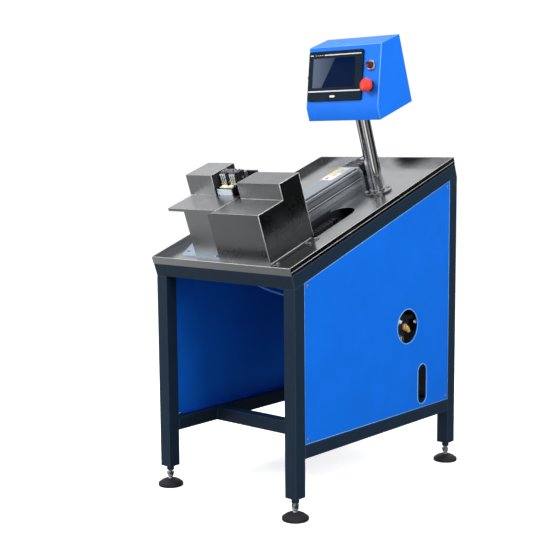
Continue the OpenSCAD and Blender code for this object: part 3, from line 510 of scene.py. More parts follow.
class Shape:
    """A piece's mesh, built from closed skins in millimetres in one of the machine's frames."""

    def __init__(self):
        self.start()

    def start(self):
        self.bm = bmesh.new()
        self.paint = 0

    def face(self, corners):
        face = self.bm.faces.new(corners)
        face.material_index = self.paint
        face.smooth = True

    def points(self, places):
        return [self.bm.verts.new(p) for p in places]

    def block(self, a, b):
        """Box given by its low and high corners."""
        (x0, y0, z0), (x1, y1, z1) = a, b
        v = self.points([(x, y, z) for z in (z0, z1) for y in (y0, y1) for x in (x0, x1)])
        for q in ((0, 2, 3, 1), (4, 5, 7, 6), (0, 1, 5, 4), (2, 6, 7, 3), (0, 4, 6, 2), (1, 3, 7, 5)):
            self.face([v[i] for i in q])

    def skin(self, rings, closed=False):
        """Joins a row of rings; its ends are capped, or joined to each other."""
        for low, high in zip(rings, rings[1:] + (rings[:1] if closed else [])):
            count = max(len(low), len(high))
            for k in range(count):
                m = (k + 1) % count
                corners = [low[k % len(low)], low[m % len(low)], high[m % len(high)], high[k % len(high)]]
                corners = list(dict.fromkeys(corners))
                if len(corners) > 2:
                    self.face(corners)
        if not closed:
            for ring in (rings[0], rings[-1]):
                if len(ring) > 2:
                    self.face(ring)

    def lathe(self, profile, at=(0, 0, 0), axis=UP, sides=36, closed=False):
        """Turned shape; a profile entry is (radius, height) or (radius, height, flats)."""
        place = Matrix.Translation(at) @ towards(axis)
        rings = []
        for radius, height, *flats in profile:
            if radius == 0:
                rings.append(self.points([place @ Vector((0, 0, height))]))
                continue
            ring = []
            for k in range(sides):
                angle = 2 * math.pi * k / sides
                reach = radius
                if flats:
                    step = 2 * math.pi / flats[0]
                    reach = radius * math.cos(step / 2) / math.cos(angle % step - step / 2)
                ring.append(place @ Vector((reach * math.cos(angle), reach * math.sin(angle), height)))
            rings.append(self.points(ring))
        self.skin(rings, closed)

    def fluted(self, radius, depth, flutes, low, high, at, axis=UP, sides=96):
        """Grip with rounded flutes and chamfered ends."""
        place = Matrix.Translation(at) @ towards(axis)
        rings = []
        for share, height in ((0.90, low), (1, low + 1.5), (1, high - 1.5), (0.90, high)):
            ring = []
            for k in range(sides):
                angle = 2 * math.pi * k / sides
                reach = (radius - depth * (0.5 + 0.5 * math.cos(flutes * angle)) ** 3) * share
                ring.append(place @ Vector((reach * math.cos(angle), reach * math.sin(angle), height)))
            rings.append(self.points(ring))
        self.skin(rings)

    def prism(self, outline, low, high, along="Z"):
        """Outline in the two other axes, extruded along X, Y or Z."""
        order = {
            "X": lambda p, h: (h, p[0], p[1]),
            "Y": lambda p, h: (p[0], h, p[1]),
            "Z": lambda p, h: (p[0], p[1], h),
        }[along]
        self.skin([self.points([order(p, h) for p in outline]) for h in (low, high)])

    def pipe(self, route, radius, sides=12, closed=False):
        """Round bar along a route; radius is one number, or one for each point."""
        route = [Vector(p) for p in route]
        last = len(route) - 1
        rings, side = [], None
        for i, place in enumerate(route):
            if closed:
                heading = route[(i + 1) % (last + 1)] - route[i - 1]
            else:
                heading = route[min(i + 1, last)] - route[max(i - 1, 0)]
            heading.normalize()
            side = side or heading.orthogonal()
            side = (side - heading * side.dot(heading)).normalized()
            other = heading.cross(side)
            reach = radius[i] if isinstance(radius, list) else radius
            rings.append(self.points([place + reach * (c * side + s * other) for c, s in circle(sides)]))
        self.skin(rings, closed)

    def frame(self, corners, radius, sides=8):
        """Straight round bars from corner to corner."""
        for a, b in zip(corners, corners[1:] + corners[:1]):
            self.pipe([a, b], radius, sides)

    def row(self, count, step, a, b):
        """Equal boxes at even steps along X."""
        for k in range(count):
            self.block((a[0] + k * step, *a[1:]), (b[0] + k * step, *b[1:]))

    def screws(self, places, axis, d):
        for place in places:
            self.cap_screw(place, axis, d)

    def bead(self, a, b, radius, pitch=2.4):
        """Weld seam of overlapping ripples, sunk halfway into the corner."""
        a, b = Vector(a), Vector(b)
        count = max(6, round((b - a).length / pitch) * 4)
        radii = [radius * (0.84 + 0.16 * abs(math.sin(math.pi * i / 4))) for i in range(count + 1)]
        radii[0] = radii[-1] = radius * 0.5
        self.pipe([a.lerp(b, i / count) for i in range(count + 1)], radii, 10)

    def thread(self, at, axis, radius, pitch, length, sides=24):
        """Screw thread with a real helix."""
        place = Matrix.Translation(at) @ towards(axis)
        steps = round(length / pitch) * 6
        rings = []
        for j in range(steps + 1):
            height = length * j / steps
            ring = []
            for k in range(sides):
                crest = abs(2 * ((height / pitch - k / sides) % 1) - 1)
                reach = radius - 0.5 * pitch * (1 - crest)
                angle = 2 * math.pi * k / sides
                ring.append(place @ Vector((reach * math.cos(angle), reach * math.sin(angle), height)))
            rings.append(self.points(ring))
        self.skin(rings)

    def cap_screw(self, at, axis, d):
        """Head of a socket cap screw."""
        self.lathe([
            (0, 0), (0.80 * d, 0), (0.85 * d, 0.1 * d), (0.85 * d, 0.8 * d), (0.76 * d, d),
            (0.48 * d, d, 6), (0.48 * d, 0.45 * d, 6), (0, 0.45 * d),
        ], at, axis, 24)

    def hex_bolt(self, at, axis, d):
        """Hexagon head on its washer."""
        self.lathe([
            (0, 0), (1.15 * d, 0), (1.15 * d, 0.14 * d), (0.93 * d, 0.16 * d, 6),
            (0.93 * d, 0.75 * d, 6), (0.80 * d, 0.85 * d), (0, 0.85 * d),
        ], at, axis, 24)

    def push_fitting(self, at, axis, r, length):
        """Push-in air fitting: hexagon, barrel and release ring."""
        self.lathe([
            (0, 0), (1.05 * r, 0, 6), (1.15 * r, 0.05 * length, 6), (1.15 * r, 0.32 * length, 6),
            (1.05 * r, 0.37 * length, 6), (0.95 * r, 0.38 * length), (0.95 * r, 0.80 * length),
            (0.80 * r, 0.82 * length), (0.80 * r, 0.90 * length), (0.92 * r, 0.92 * length),
            (0.92 * r, length), (0.6 * r, length), (0.6 * r, 0.5 * length), (0, 0.5 * length),
        ], at, axis, 24)

    def piece(self, name, materials, body, place, edge=0.0, stands_for=()):
        """Makes the Blender object, rounds its edges, hangs it on its body and starts anew."""
        bmesh.ops.transform(self.bm, matrix=place @ Matrix.Scale(MM, 4), verts=self.bm.verts)
        bmesh.ops.recalc_face_normals(self.bm, faces=self.bm.faces)
        mesh = bpy.data.meshes.new(name)
        self.bm.to_mesh(mesh)
        self.bm.free()
        for material in materials:
            mesh.materials.append(MATERIALS[material])
        obj = bpy.data.objects.new(name, mesh)
        bpy.context.scene.collection.objects.link(obj)
        if edge:
            bevel = obj.modifiers.new("bevel", "BEVEL")
            bevel.width = edge * MM
            bevel.segments = 2
            bevel.limit_method = "ANGLE"
            bevel.angle_limit = math.radians(35)
            bevel.use_clamp_overlap = True
            obj.modifiers.new("weighted", "WEIGHTED_NORMAL").weight = 60
        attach(obj, body)
        if stands_for:
            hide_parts(*stands_for)
        self.start()


# ---------- detail pieces ----------

LEG_AT = [(-250, -380), (250, -380), (-250, 380), (250, 380)]
FOOT_BODIES = ["foot_fl", "foot_fr", "foot_rl", "foot_rr"]


def rubber_feet():
    shape = Shape()
    for x, y in LEG_AT:
        shape.lathe([
            (0, 0), (35.0, 0), (37.1, 0.8), (37.85, 2.6), (37.85, 7.4), (37.2, 9.4), (35.6, 10.2),
            (34.6, 10.0), (34.0, 10.8), (31.5, 13.6), (27.5, 16.6), (22.5, 19.0), (17.5, 20.8),
            (16.6, 20.6), (16.0, 21.2), (14.0, 22.4), (12.4, 23.0), (8.3, 23.0), (8.3, 12.2), (0, 12.2),
        ], (x, y, 0), sides=72)
    shape.piece("rubber_feet", ["rubber"], "base", MACHINE, 0.15, ("foot_pads",))


def levelling_stem(number):
    """Ball-jointed stem: ball, neck, hexagon for the spanner and a threaded rod."""
    x, y = LEG_AT[number]
    shape = Shape()
    ball = [(7.9 * math.sin(a), 20.2 - 7.9 * math.cos(a)) for a in [math.pi * i / 14 for i in range(12)]]
    shape.lathe([(0, 12.3)] + [p for p in ball if p[0] > 0.1] + [(5.2, 27.0), (5.0, 28.4), (0, 28.4)],
                (x, y, 0))
    shape.lathe([
        (0, 28), (6.2, 28), (8.6, 29.4), (9.6, 31.6), (8.6, 33.8), (6.6, 34.6), (6.6, 35.6), (0, 35.6),
    ], (x, y, 0))
    shape.lathe([
        (0, 35), (10.2, 35), (11.4, 36.0, 6), (11.4, 43.4, 6), (10.2, 44.4), (5.2, 44.4), (0, 44.4),
    ], (x, y, 0), sides=36)
    shape.thread((x, y, 44), UP, 5.9, 1.75, 60)
    body = FOOT_BODIES[number]
    corner = body[-2:]
    shape.piece("levelling_stem_" + corner, ["chrome"], body, MACHINE, 0.2,
                ("foot_stem_" + corner,))


def frame_welds():
    """Fillet welds where the tubes meet."""
    shape = Shape()
    for s in (-1, 1):
        side, leg = s * 230, s * 269.5
        for y in (-193, -153, 320, 360):
            shape.bead((side, y, 172), (side, y, 210), 1.8)
        for y in (-360, 360):
            for z in (171, 211):
                shape.bead((side + s * 1, y, z), (leg, y, z), 1.7)
        for x, y in ((s * 250, -380), (s * 250, 380)):
            shape.pipe([(x + 11 * c, y + 11 * s, 62.6) for c, s in circle(32)], 1.5, 8, closed=True)
    shape.piece("frame_welds", ["dark_paint"], "base", MACHINE)
    for s in (-1, 1):
        for v in (0.8, 39.2, 809.5, 847.8):
            shape.bead((s * 230, v, -39), (s * 230, v, -2), 1.6)
        for v in (40, 808.6):
            shape.bead((s * 230.5, v, -40), (s * 268.5, v, -40), 1.6)
    shape.piece("rail_welds", ["dark_paint"], "base", TABLE)


def panel_rims():
    """Rolled rims of the right panel's hole and slot and its outer edge, in a lighter blue that paints their
    highlight.
    """
    shape = Shape()
    skin = 269.0

    def rim(outline):
        count = len(outline)
        middle = Vector((sum(p[0] for p in outline), sum(p[1] for p in outline))) / count
        rings = []
        profile = ((0.2, -3.0), (0.2, 0.9), (1.0, 1.3), (2.6, 0.7), (3.2, -0.4))
        for grow, proud in profile:
            ring = []
            for i, p in enumerate(outline):
                ahead, behind = Vector(outline[(i + 1) % count]), Vector(outline[i - 1])
                out = Vector(((ahead - behind).y, -(ahead - behind).x)).normalized()
                if out.dot(Vector(p) - middle) < 0:
                    out = -out
                q = Vector(p) + out * grow
                ring.append((skin + proud, q.x, q.y))
            rings.append(shape.points(ring))
        shape.skin(rings, closed=True)

    rim([(132 + 52 * c, 478 + 52 * s) for c, s in circle(96)])
    half = [math.pi * k / 24 for k in range(25)]
    rim([(213 + 23 * math.cos(t), 325 + 23 * math.sin(t)) for t in half]
        + [(213 - 23 * math.cos(t), 247 - 23 * math.sin(t)) for t in half])
    bottom, top = (z / MM for z in (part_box("right_panel")[0].z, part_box("right_panel")[1].z))
    depth = 359.2
    front_top = top - 2 * depth * math.tan(SLOPE)
    edge = [(skin - 0.4, -depth, bottom + 0.3), (skin - 0.4, depth, bottom + 0.3),
            (skin - 0.4, depth, top - 1.2), (skin - 0.4, -depth, front_top - 1.2)]
    shape.frame(edge, 1.0, 10)
    # lighter blue rims: painted highlight
    shape.piece("panel_rims", ["blue_edge"], "base", MACHINE)


def tray_welds():
    """Corner welds of the tray and tack welds of the covers, in a light steel that paints their highlights.
    """
    shape = Shape()
    for s in (-1, 1):
        for v in (1.2, 847.4):
            # welds in the light edge steel: painted highlights
            shape.bead((s * 269.0, v, 1), (s * 269.0, v, 21.2), 1.3, 2.0)
        for v in (2.4, 846.2):
            shape.bead((s * 267.6, v, 2.5), (s * 267.6, v, 20.5), 1.5, 2.0)
    tilt = (0, -0.5, 1)
    for u in (-206, -144):
        shape.lathe([(0, -0.6), (3.2, 0), (2.4, 1.0), (0, 1.4)], (u, 179.2, 150.2), tilt, 16)
        shape.lathe([(0, -0.6), (2.6, 0), (1.8, 1.0), (0, 1.4)], (u + 7, 178.6, 150.2), tilt, 16)
    for u in (20, 90, 140):
        shape.lathe([(0, -0.4), (2.6, 0), (1.9, 0.7), (0, 1.0)], (u, 160.2, 150.2), tilt, 16)
    shape.piece("steel_welds", ["steel_edge"], "base", TABLE)


def cover_seams():
    """Rounded seams along the folded edges of the two covers, in a light steel that paints their highlight
    lines.
    """
    shape = Shape()
    side = 153.6
    seams = (
        (1.25, 10, [(side, 50.6, 3.5), (side, 50.6, 148), (side, 51.6, 149.5), (side, 160.6, 149.5),
                    (side, 161.0, 151), (side, 161.0, 196.4), (side, 162.4, 197.6), (side, 249, 197.6)]),
        (1.0, 10, [(side, 249.6, 197), (side, 249.6, 4)]),
        (1.3, 10, [(side + 0.8, 52, 3.8), (side + 0.8, 239, 3.8)]),
        (0.9, 8, [(-23.4, 51, 149.4), (-23.4, 161, 149.4)]),
        (0.8, 8, [(-23.6, 50.8, 149.4), (152.4, 50.8, 149.4)]),
        (0.8, 8, [(-5.6, 161.2, 151), (-5.6, 161.2, 196.8), (-5.6, 162, 197.4), (-5.6, 249, 197.4)]),
        (0.7, 8, [(-5.6, 161.2, 197.2), (152.4, 161.2, 197.2)]),
        (0.8, 8, [(-5.6, 160.4, 150.3), (152.4, 160.4, 150.3)]),
        (0.7, 8, [(-228.4, 180.8, 211.3), (-123.6, 180.8, 211.3)]),
        (0.9, 8, [(-123.5, 180.8, 151), (-123.5, 180.8, 210.8), (-123.5, 182, 211.3),
                  (-123.5, 283, 211.3)]),
        (0.7, 8, [(-228.4, 180.8, 151), (-228.4, 180.8, 211)]),
        (0.7, 8, [(-219.6, 70.8, 149.3), (-26.8, 70.8, 149.3)]),
        (0.7, 8, [(-219.6, 71, 149.3), (-219.6, 178, 149.3)]),
    )
    # light seam lines: painted highlights
    for radius, sides, route in seams:
        shape.pipe(route, radius, sides)
    shape.piece("cover_seams", ["seam_steel"], "base", TABLE)


def lip_edges():
    """Painted highlight along the top edge of the tray's lip and a painted highlight line along its two
    sides.
    """
    shape = Shape()
    left, right, front, rear, top = -269, 269, 1, 847.7, 21.6
    # light lines: painted highlights
    shape.frame([(left, front, top), (right, front, top), (right, rear, top), (left, rear, top)], 1.05, 10)
    for side in (-270.1, 270.1):
        shape.pipe([(side, 3, 9.0), (side, 845, 9.0)], 0.75, 8)
    shape.piece("lip_edges", ["seam_steel"], "base", TABLE)


def module_details():
    """Label without lettering, end plate and cover screws, side strips in light aluminium that paint lit
    bands, and lines: light ones that paint highlights, black ones that paint the shade in the grooves.
    """
    shape = Shape()
    top = 66.0
    shape.block((-15, 524, top - 0.1), (31, 630, top + 0.25))
    shape.paint = 1
    shape.block((-13, 570, top + 0.2), (-2, 627, top + 0.4))
    shape.paint = 2
    shape.prism([(-4, 534), (10, 534), (3, 548)], top + 0.2, top + 0.4)
    shape.row(2, 7, (5, 556, top + 0.2), (8, 580, top + 0.4))
    shape.paint = 3
    for i in range(3):
        shape.block((5 + i * 8, 586, top + 0.2), (7.4 + i * 8, 622 - i * 7, top + 0.4))
    shape.piece("module_label", ["label_white", "label_yellow", "label_red", "label_grey"],
                "base", TABLE)
    for v, way in ((138, -1), (640, 1)):
        places = ((-26, 10), (58, 10), (-26, 46), (58, 46), (-8, 58), (40, 58))
        shape.screws([(u, v, w) for u, w in places], (0, way, 0), 4.2)
    for v in (170, 300, 430, 560, 612):
        for u in (-17.5, 49.5):
            shape.lathe([
                (0, 60.5), (2.6, 60.5), (2.8, 61.5), (2.3, 62.4), (1.3, 62.4, 6), (1.3, 61.6, 6), (0, 61.6),
            ], (u, v, 0), sides=24)
    shape.lathe([(0, 0), (5.4, 0, 6), (5.4, 5, 6), (3.2, 5.4), (3.2, 7), (3.8, 8.4), (2, 10), (0, 10)],
                (MODULE_U, 640, 52), REARWARD, 24)
    shape.piece("module_screws", ["zinc_screw"], "base", TABLE, 0.1)
    # strips in light aluminium: painted lit bands on the sides and top
    walls, front, rear = ((1, 66), (-1, -34)), 151, 627
    for s, u in walls:
        near, far = sorted((u - s * 0.4, u + s * 1.0))
        shape.block((near, front, 14), (far, rear, 26.5))
    for u in (-15.0, 47.0):
        shape.block((u - 1.0, front, 61.2), (u + 1.0, rear, 63.6))
    shape.piece("module_strips", ["anodised_edge"], "base", TABLE, 0.5)
    # light lines paint highlights; black lines paint the shade in the grooves
    lines = ((0, 0.5, 34.2, 0.85), (1, 0.3, 31.2, 0.95), (1, -1.9, 54.2, 0.95))
    for s, u in walls:
        for shape.paint, proud, w, radius in lines:
            shape.pipe([(u + s * proud, v, w) for v in (front, rear)], radius, 8)
    shape.piece("module_lines", ["seam_steel", "black_metal"], "base", TABLE)


def motor_details():
    """Servo motor: cooling ribs, end cap, cable socket, corner screws and rating plate."""
    shape = Shape()
    u, v0, w = MODULE_U, 690, 34
    for i in range(6):
        v = v0 + 18 + i * 8
        shape.prism(octagon(u - 28.9, w - 28.9, u + 28.9, w + 28.9, 6.9), v, v + 4, "Y")
    shape.prism(octagon(u - 26, w - 26, u + 26, w + 26, 4), v0 + 67.5, v0 + 74, "Y")
    shape.lathe([(0, 0), (17, 0), (17, 2), (15, 3.4), (0, 3.4)], (u, v0 + 74, w), REARWARD, 48)
    shape.prism([(u - 44, v0 + 42), (u - 37.5, v0 + 42), (u - 37.5, v0 + 62), (u - 44, v0 + 62)],
                w - 10, w + 10)
    shape.lathe([(0, 0), (7.5, 0, 6), (7.5, 6, 6), (6.2, 7), (5.2, 13), (3.4, 13), (3.4, 9), (0, 9)],
                (u - 43.5, v0 + 52, w), LEFT, 24)
    shape.piece("motor_ribs", ["black_metal"], "base", TABLE, 0.5)
    signs = [(a, b) for a in (-1, 1) for b in (-1, 1)]
    shape.screws([(u + a * 25, v0 + 11.8, w + b * 25) for a, b in signs], REARWARD, 4.4)
    shape.screws([(u + a * 19, v0 + 73.8, w + b * 19) for a, b in signs], REARWARD, 3)
    shape.screws([(u + a * 24.5, 661, w + b * 24) for a, b in signs], FORWARD, 3.4)
    shape.screws([(u + a * 22, 673 + b * 9, 64.8) for a, b in signs], UP, 4)
    shape.piece("motor_screws", ["zinc_screw"], "base", TABLE, 0.1)
    shape.block((u - 16, v0 + 26, w + 28.6), (u + 16, v0 + 54, w + 29.3))
    shape.piece("motor_plate", ["zinc_plate"], "base", TABLE, 0.15)


def head_details():
    """Screws and air fittings of the clamping head, and the screws of the blade arm."""
    shape = Shape()
    shape.screws([(u, 182.6, w) for u in (-112, -56) for w in (153, 164)], FORWARD, 2.6)
    for u, way in ((-122, LEFT), (-45, RIGHT)):
        shape.screws([(u, 227, w) for w in (30, 80, 130, 190)], way, 5)
    shape.screws([(u, v, 208.8) for u in (-110, -57) for v in (221.5, 235)], UP, 3.6)
    shape.screws([(u, 225.5, 211.8) for u in (-94, -78)], UP, 2.4)
    shape.screws([(u, 187, 11.6) for u in (-104, -88, -72)], UP, 5)
    shape.piece("head_screws", ["zinc_screw"], "base", TABLE, 0.1)
    for u, v in ((-103, 227), (-66, 228)):
        shape.push_fitting((u, v, 208.6), UP, 4.2, 6.5)
    shape.pipe([(-62 + 4.2 * c, 219.5, 205.5 + 6 * s) for c, s in circle(32)], 1.1, 10, closed=True)
    shape.piece("head_fittings", ["chrome"], "base", TABLE, 0.15)
    shape.screws([(u, 276, 120) for u in (-146, -26)], REARWARD, 5)
    shape.screws([(u, 268.2, 156) for u in (-108, -66, -34)], FORWARD, 3.4)
    shape.screws([(u, v, 83.8) for u in (-35.5, -13.5) for v in (246, 262)], UP, 4)
    places = ((-30, 208), (60, 208), (-30, 232), (60, 232), (-30, 256))
    shape.screws([(u, v, 79.8) for u, v in places], UP, 4.2)
    shape.piece("arm_screws", ["zinc_screw"], "carriage", TABLE, 0.1)


def guide_cheek():
    """Dark steel cheek that holds the guide block from the right, with its two pins."""
    shape = Shape()
    shape.prism([(182.6, 149.2), (206, 149.2), (206, 172), (190, 172), (182.6, 168.6)], -55.9, -52.6, "X")
    shape.prism([(184, 12), (188, 12), (188, 149.4), (184, 149.4)], -55.9, -52.6, "X")
    for v, w in ((188, 156), (199, 164)):
        shape.lathe([(0, 0), (2.2, 0), (2.2, 1.0), (1.6, 1.6), (0, 1.6)], (-52.7, v, w), RIGHT, 20)
    shape.piece("guide_cheek", ["black_metal"], "base", TABLE, 0.3)


def cover_shade_sheet():
    """Thin black sheet on the inner wall of the left cover, facing the clamping jaws: painted shade."""
    shape = Shape()
    # black sheet: painted shade on the cover's inner wall
    shape.prism([(182.2, 150.4), (283.6, 150.4), (283.6, 209.6), (183.8, 209.6), (182.2, 208.0)],
                -122.95, -122.2, "X")
    for v, w in ((188, 156), (188, 204), (278, 156), (278, 204)):
        shape.lathe([(0, 0), (1.9, 0), (1.5, 0.6), (0, 0.7)], (-122.25, v, w), RIGHT, 16)
    shape.piece("cover_shade_sheet", ["rubber"], "base", TABLE, 0.1)


def jaw_details():
    """Teeth and upright bars of the clamp jaws and the blades' screws; they ride on their own jaws. The bars'
    light steel paints their highlights.
    """
    jaw_front, bars, bar_pitch = 208.2, 3, 7.5
    for side, s, body in (("left", -1, "jaw_l"), ("right", 1, "jaw_r")):
        shape = Shape()
        for i in range(bars):
            u = HEAD_U + s * (10.5 + i * bar_pitch + 4)
            for w in (176, 203):
                shape.lathe([(0, 0), (1.7, 0), (1.7, 0.6), (1.2, 1.0), (0, 1.0)],
                            (u, jaw_front, w), FORWARD, 16)
        for k in range(5):
            w = 172.5 + k * 1.7
            near, far = sorted((HEAD_U + s * 7.7, HEAD_U + s * 9))
            shape.block((near, 218, w), (far, 236, w + 0.8))
        shape.piece("jaw_teeth_" + side, ["jaw_steel"], body, TABLE, 0.1)
        # upright bars in light steel: painted highlights
        for i in range(bars):
            u = HEAD_U + s * (10.4 + i * bar_pitch)
            shape.lathe([(0, 171), (1.3, 171), (1.75, 171.6), (1.75, 205), (1.3, 205.6), (0, 205.6)],
                        (u, jaw_front - 0.3, 0), sides=24)
        shape.piece("jaw_bars_" + side, ["seam_steel"], body, TABLE)
    for side, s, v, body in (("left", -1, 250.5, "blade_l"), ("right", 1, 247.9, "blade_r")):
        shape.cap_screw((HEAD_U + s * 22, v + 0.1, 184), FORWARD, 2.4)
        shape.lathe([(0, 0), (1.2, 0), (1.2, 0.8), (0, 0.8)], (HEAD_U + s * 22, v + 0.1, 190), FORWARD, 16)
        shape.piece("blade_screw_" + side, ["zinc_screw"], body, TABLE, 0.1)


def drag_chain():
    """Linked energy chain; the short run turns round under the table."""
    shape = Shape()
    path = [(232 + i * 16.2, -13.5, 0.0) for i in range(11)]
    turns = 6
    for i in range(turns + 1):
        a = math.pi * i / turns
        path.append((396 + 29.5 * math.sin(a), -43 + 29.5 * math.cos(a), -a))
    for v, w, lean in path:
        along = Vector((0, math.cos(lean), math.sin(lean)))
        up = Vector((0, -math.sin(lean), math.cos(lean)))
        centre = Vector((113.2, v, w))

        def link_part(u0, u1, outline):
            shape.skin([shape.points(
                [centre + Vector((u, 0, 0)) + along * a + up * b for a, b in outline]
            ) for u in (u0, u1)])

        for u0, u1, reach in ((-9.6, -7.8, 10.6), (7.8, 9.6, 10.6), (-7.8, -6.6, 7.4), (6.6, 7.8, 7.4)):
            outline = octagon(-reach, -6, reach, 6, 2.6)
            link_part(u0, u1, outline)
        for b in (-5.6, 4.4):
            link_part(-7.2, 7.2, [(-4, b), (4, b), (4, b + 1.2), (-4, b + 1.2)])
        for way in (LEFT, RIGHT):
            pin = [(0, 0), (2.6, 0), (2.2, 0.7), (0, 0.7)]
            shape.lathe(pin, centre + 9.5 * Vector(way), way, 16)
    shape.block((105, 224, -19.5), (122, 238, -17))
    shape.piece("drag_chain", ["chain_plastic"], "carriage", TABLE, 0.25, ("chain_upper",))


def slot_trim_and_shade():
    """Rubber edge trim along the inner side of the chain slot, also standing in for the shade along that
    edge, and a painted highlight line along the slot's round end.
    """
    shape = Shape()
    # rubber trim, partly standing in for the shade along the slot's edge
    outline = [(82.2, 2.1), (84.3, 2.1), (84.3, -3), (86.8, -3),
               (86.8, 7.8), (85.8, 9), (83.2, 9), (82.2, 7.8)]
    shape.prism(outline, 252, 424, "Y")
    shape.piece("slot_trim_and_shade", ["rubber"], "base", TABLE, 0.4)
    # light steel arc: painted highlight along the slot's round end
    arc = [math.pi * k / 40 for k in range(41)]
    shape.pipe([(125.5 - 41.5 * math.cos(a), 426.5 + 41.5 * math.sin(a), 1.6) for a in arc], 0.9, 8)
    shape.piece("slot_edge", ["steel_edge"], "base", TABLE)


def panel_trim():
    """Silver stripes, plain badge, white dashes and window rim of the touch panel."""
    shape = Shape()
    face = -6.0
    shape.block((31, face - 0.35, 152.6), (42, face + 0.1, 155.6))
    shape.block((84, face - 0.35, 152.6), (219, face + 0.1, 155.6))
    shape.block((28, face - 0.35, 46.2), (222, face + 0.1, 50.0))
    shape.paint = 1
    shape.row(4, 8, (50, face - 0.3, 153.2), (54, face + 0.1, 155.0))
    shape.prism(octagon(110, 29.5, 130, 36, 3, 2), face - 0.3, face + 0.1, "Y")
    shape.piece("panel_stripes", ["stripe_silver", "label_white"], "control_box", FRONT, 0.1)
    window = [(42.2, 58.2), (199.8, 58.2), (199.8, 145.8), (42.2, 145.8)]
    shape.frame([(x, face + 0.1, z) for x, z in window], 0.7)
    shape.piece("window_rim", ["black_plastic"], "control_box", FRONT)


def button_details():
    """Chrome ring and domed lens of the power button; collar and ribbed grip of the stop."""
    x, power, stop = 252, 118, 59
    shape = Shape()
    shape.lathe([
        (9.3, 0.2), (15.6, 0.2), (16.2, 1.0), (15.8, 2.4), (14.4, 4.0), (13.0, 5.4), (11.6, 5.9),
        (10.4, 5.6), (9.3, 4.6),
    ], (x, 0, power), FORWARD, 64, closed=True)
    for c, s in circle(24):
        shape.lathe([(0, 0.6), (0.7, 0.6), (0.7, 2.2), (0, 2.4)],
                    (x + 15.4 * c, 0, power + 15.4 * s), FORWARD, 8)
    shape.piece("power_ring", ["chrome"], "control_box", FRONT, 0.15)
    shape.lathe([
        (0, 14.6), (6.4, 14.6), (7.8, 14.9), (8.4, 15.6), (8.6, 16.4), (8.1, 17.05), (6.8, 17.45), (0, 17.7),
    ], (x, 0, power), FORWARD, 48)
    for r in (2.4, 4.6):
        shape.pipe([(x + r * c, -17.5, power + r * s) for c, s in circle(32)], 0.35, 8, closed=True)
    shape.piece("power_lens", ["lens_red"], "power_cap", FRONT, 0.1)
    shape.lathe([
        (8.6, 0.2), (15.6, 0.2), (16.2, 0.9), (15.8, 2.0), (14.6, 3.2), (13.4, 5.4), (12.4, 7.0),
        (8.6, 7.0),
    ], (x, 0, stop), FORWARD, 64, closed=True)
    shape.piece("stop_collar", ["black_plastic"], "control_box", FRONT, 0.2)
    for c, s in circle(36):
        rib = ((18.4, -14.8), (19.95, -18.8), (19.2, -23))
        shape.pipe([(x + r * c, y, stop + r * s) for r, y in rib], 0.55, 6)
    shape.lathe([(12.2, 28.0), (13.0, 28.75), (14.2, 28.6), (14.4, 27.8)], (x, 0, stop), FORWARD, 64,
                closed=True)
    shape.piece("stop_grip", ["estop_red"], "stop_cap", FRONT)


def box_details():
    """Rear door of the control box with its vents and screws, cable glands and column collar."""
    shape = Shape()
    u0, u1, v, w0, w1 = 20, 284, 665, 266, 468
    shape.prism(octagon(u0 + 14, w0 + 12, u1 - 14, w1 - 12, 4), v - 0.3, v + 1.4, "Y")
    for i in range(8):
        w = w0 + 60 + i * 11
        for a, b in ((u0 + 50, u0 + 118), (u1 - 118, u1 - 50)):
            shape.prism([(v + 1.2, w), (v + 4.6, w + 1.0), (v + 4.6, w + 2.0), (v + 1.2, w + 7)], a, b, "X")
    shape.piece("box_door", ["blue_paint"], "control_box", TABLE, 0.5)
    shape.screws([(u, v + 1.3, w) for u in (u0 + 24, u1 - 24) for w in (w0 + 24, w1 - 24)], REARWARD, 4)
    shape.screws([(u, at, w0 + 0.2) for at in (540, 640) for u in (u0 + 22, u1 - 22)], DOWN, 4)
    shape.piece("box_screws", ["zinc_screw"], "control_box", TABLE, 0.1)
    for u in (196, 222):
        shape.lathe([
            (0, 0), (12, 0, 6), (12, 5, 6), (10.5, 6), (9.5, 8), (10.5, 9, 6), (10.5, 15, 6), (8, 18),
            (5, 19.5), (5, 14), (0, 14),
        ], (u, 622, w0 + 0.5), DOWN, 36)
    shape.piece("cable_glands", ["black_plastic"], "control_box", TABLE, 0.3)
    shape.lathe([
        (22.2, 262.5), (28.5, 262.5), (31.5, 263.6), (32.0, 266), (22.2, 266),
    ], (*COLUMN, 0), sides=72, closed=True)
    shape.piece("column_collar", ["chrome"], "control_box", TABLE, 0.3)


def box_seams():
    """Rounded folded edges of the control box, in a lighter blue that paints the highlight they catch."""
    shape = Shape()
    u0, u1 = 20.8, 283.2
    for u in (u0, u1):
        shape.pipe([(u, 497.8, 267), (u, 497.8, 305.6), (u, 573.4, 467.0)], 1.05, 10)
    shape.pipe([(u0 + 0.5, 573.4, 467.1), (u1 - 0.5, 573.4, 467.1)], 0.9, 10)
    shape.pipe([(u1, 574, 467.1), (u1, 664, 467.1)], 0.8, 10)
    shape.pipe([(u0 + 0.5, 497.9, 266.9), (u1 - 0.5, 497.9, 266.9)], 0.8, 10)
    # lighter blue edges: painted highlight
    shape.piece("box_seams", ["blue_edge"], "control_box", TABLE)


def column_details():
    """Rounded weld ring at the column's foot and collars round the flange screws."""
    shape = Shape()
    u, v = COLUMN
    shape.pipe([(u + 22.9 * c, v + 22.9 * s, 11.6) for c, s in circle(72)], 1.6, 10, closed=True)
    for k in range(4):
        a = math.radians(45 + 90 * k)
        shape.lathe([(5.0, 7.9), (7.2, 7.9), (7.6, 8.3), (7.4, 9.1), (5.0, 9.1)],
                    (u + 34 * math.cos(a), v + 34 * math.sin(a), 0), sides=36, closed=True)
    shape.piece("column_ring", ["chrome"], "base", TABLE)


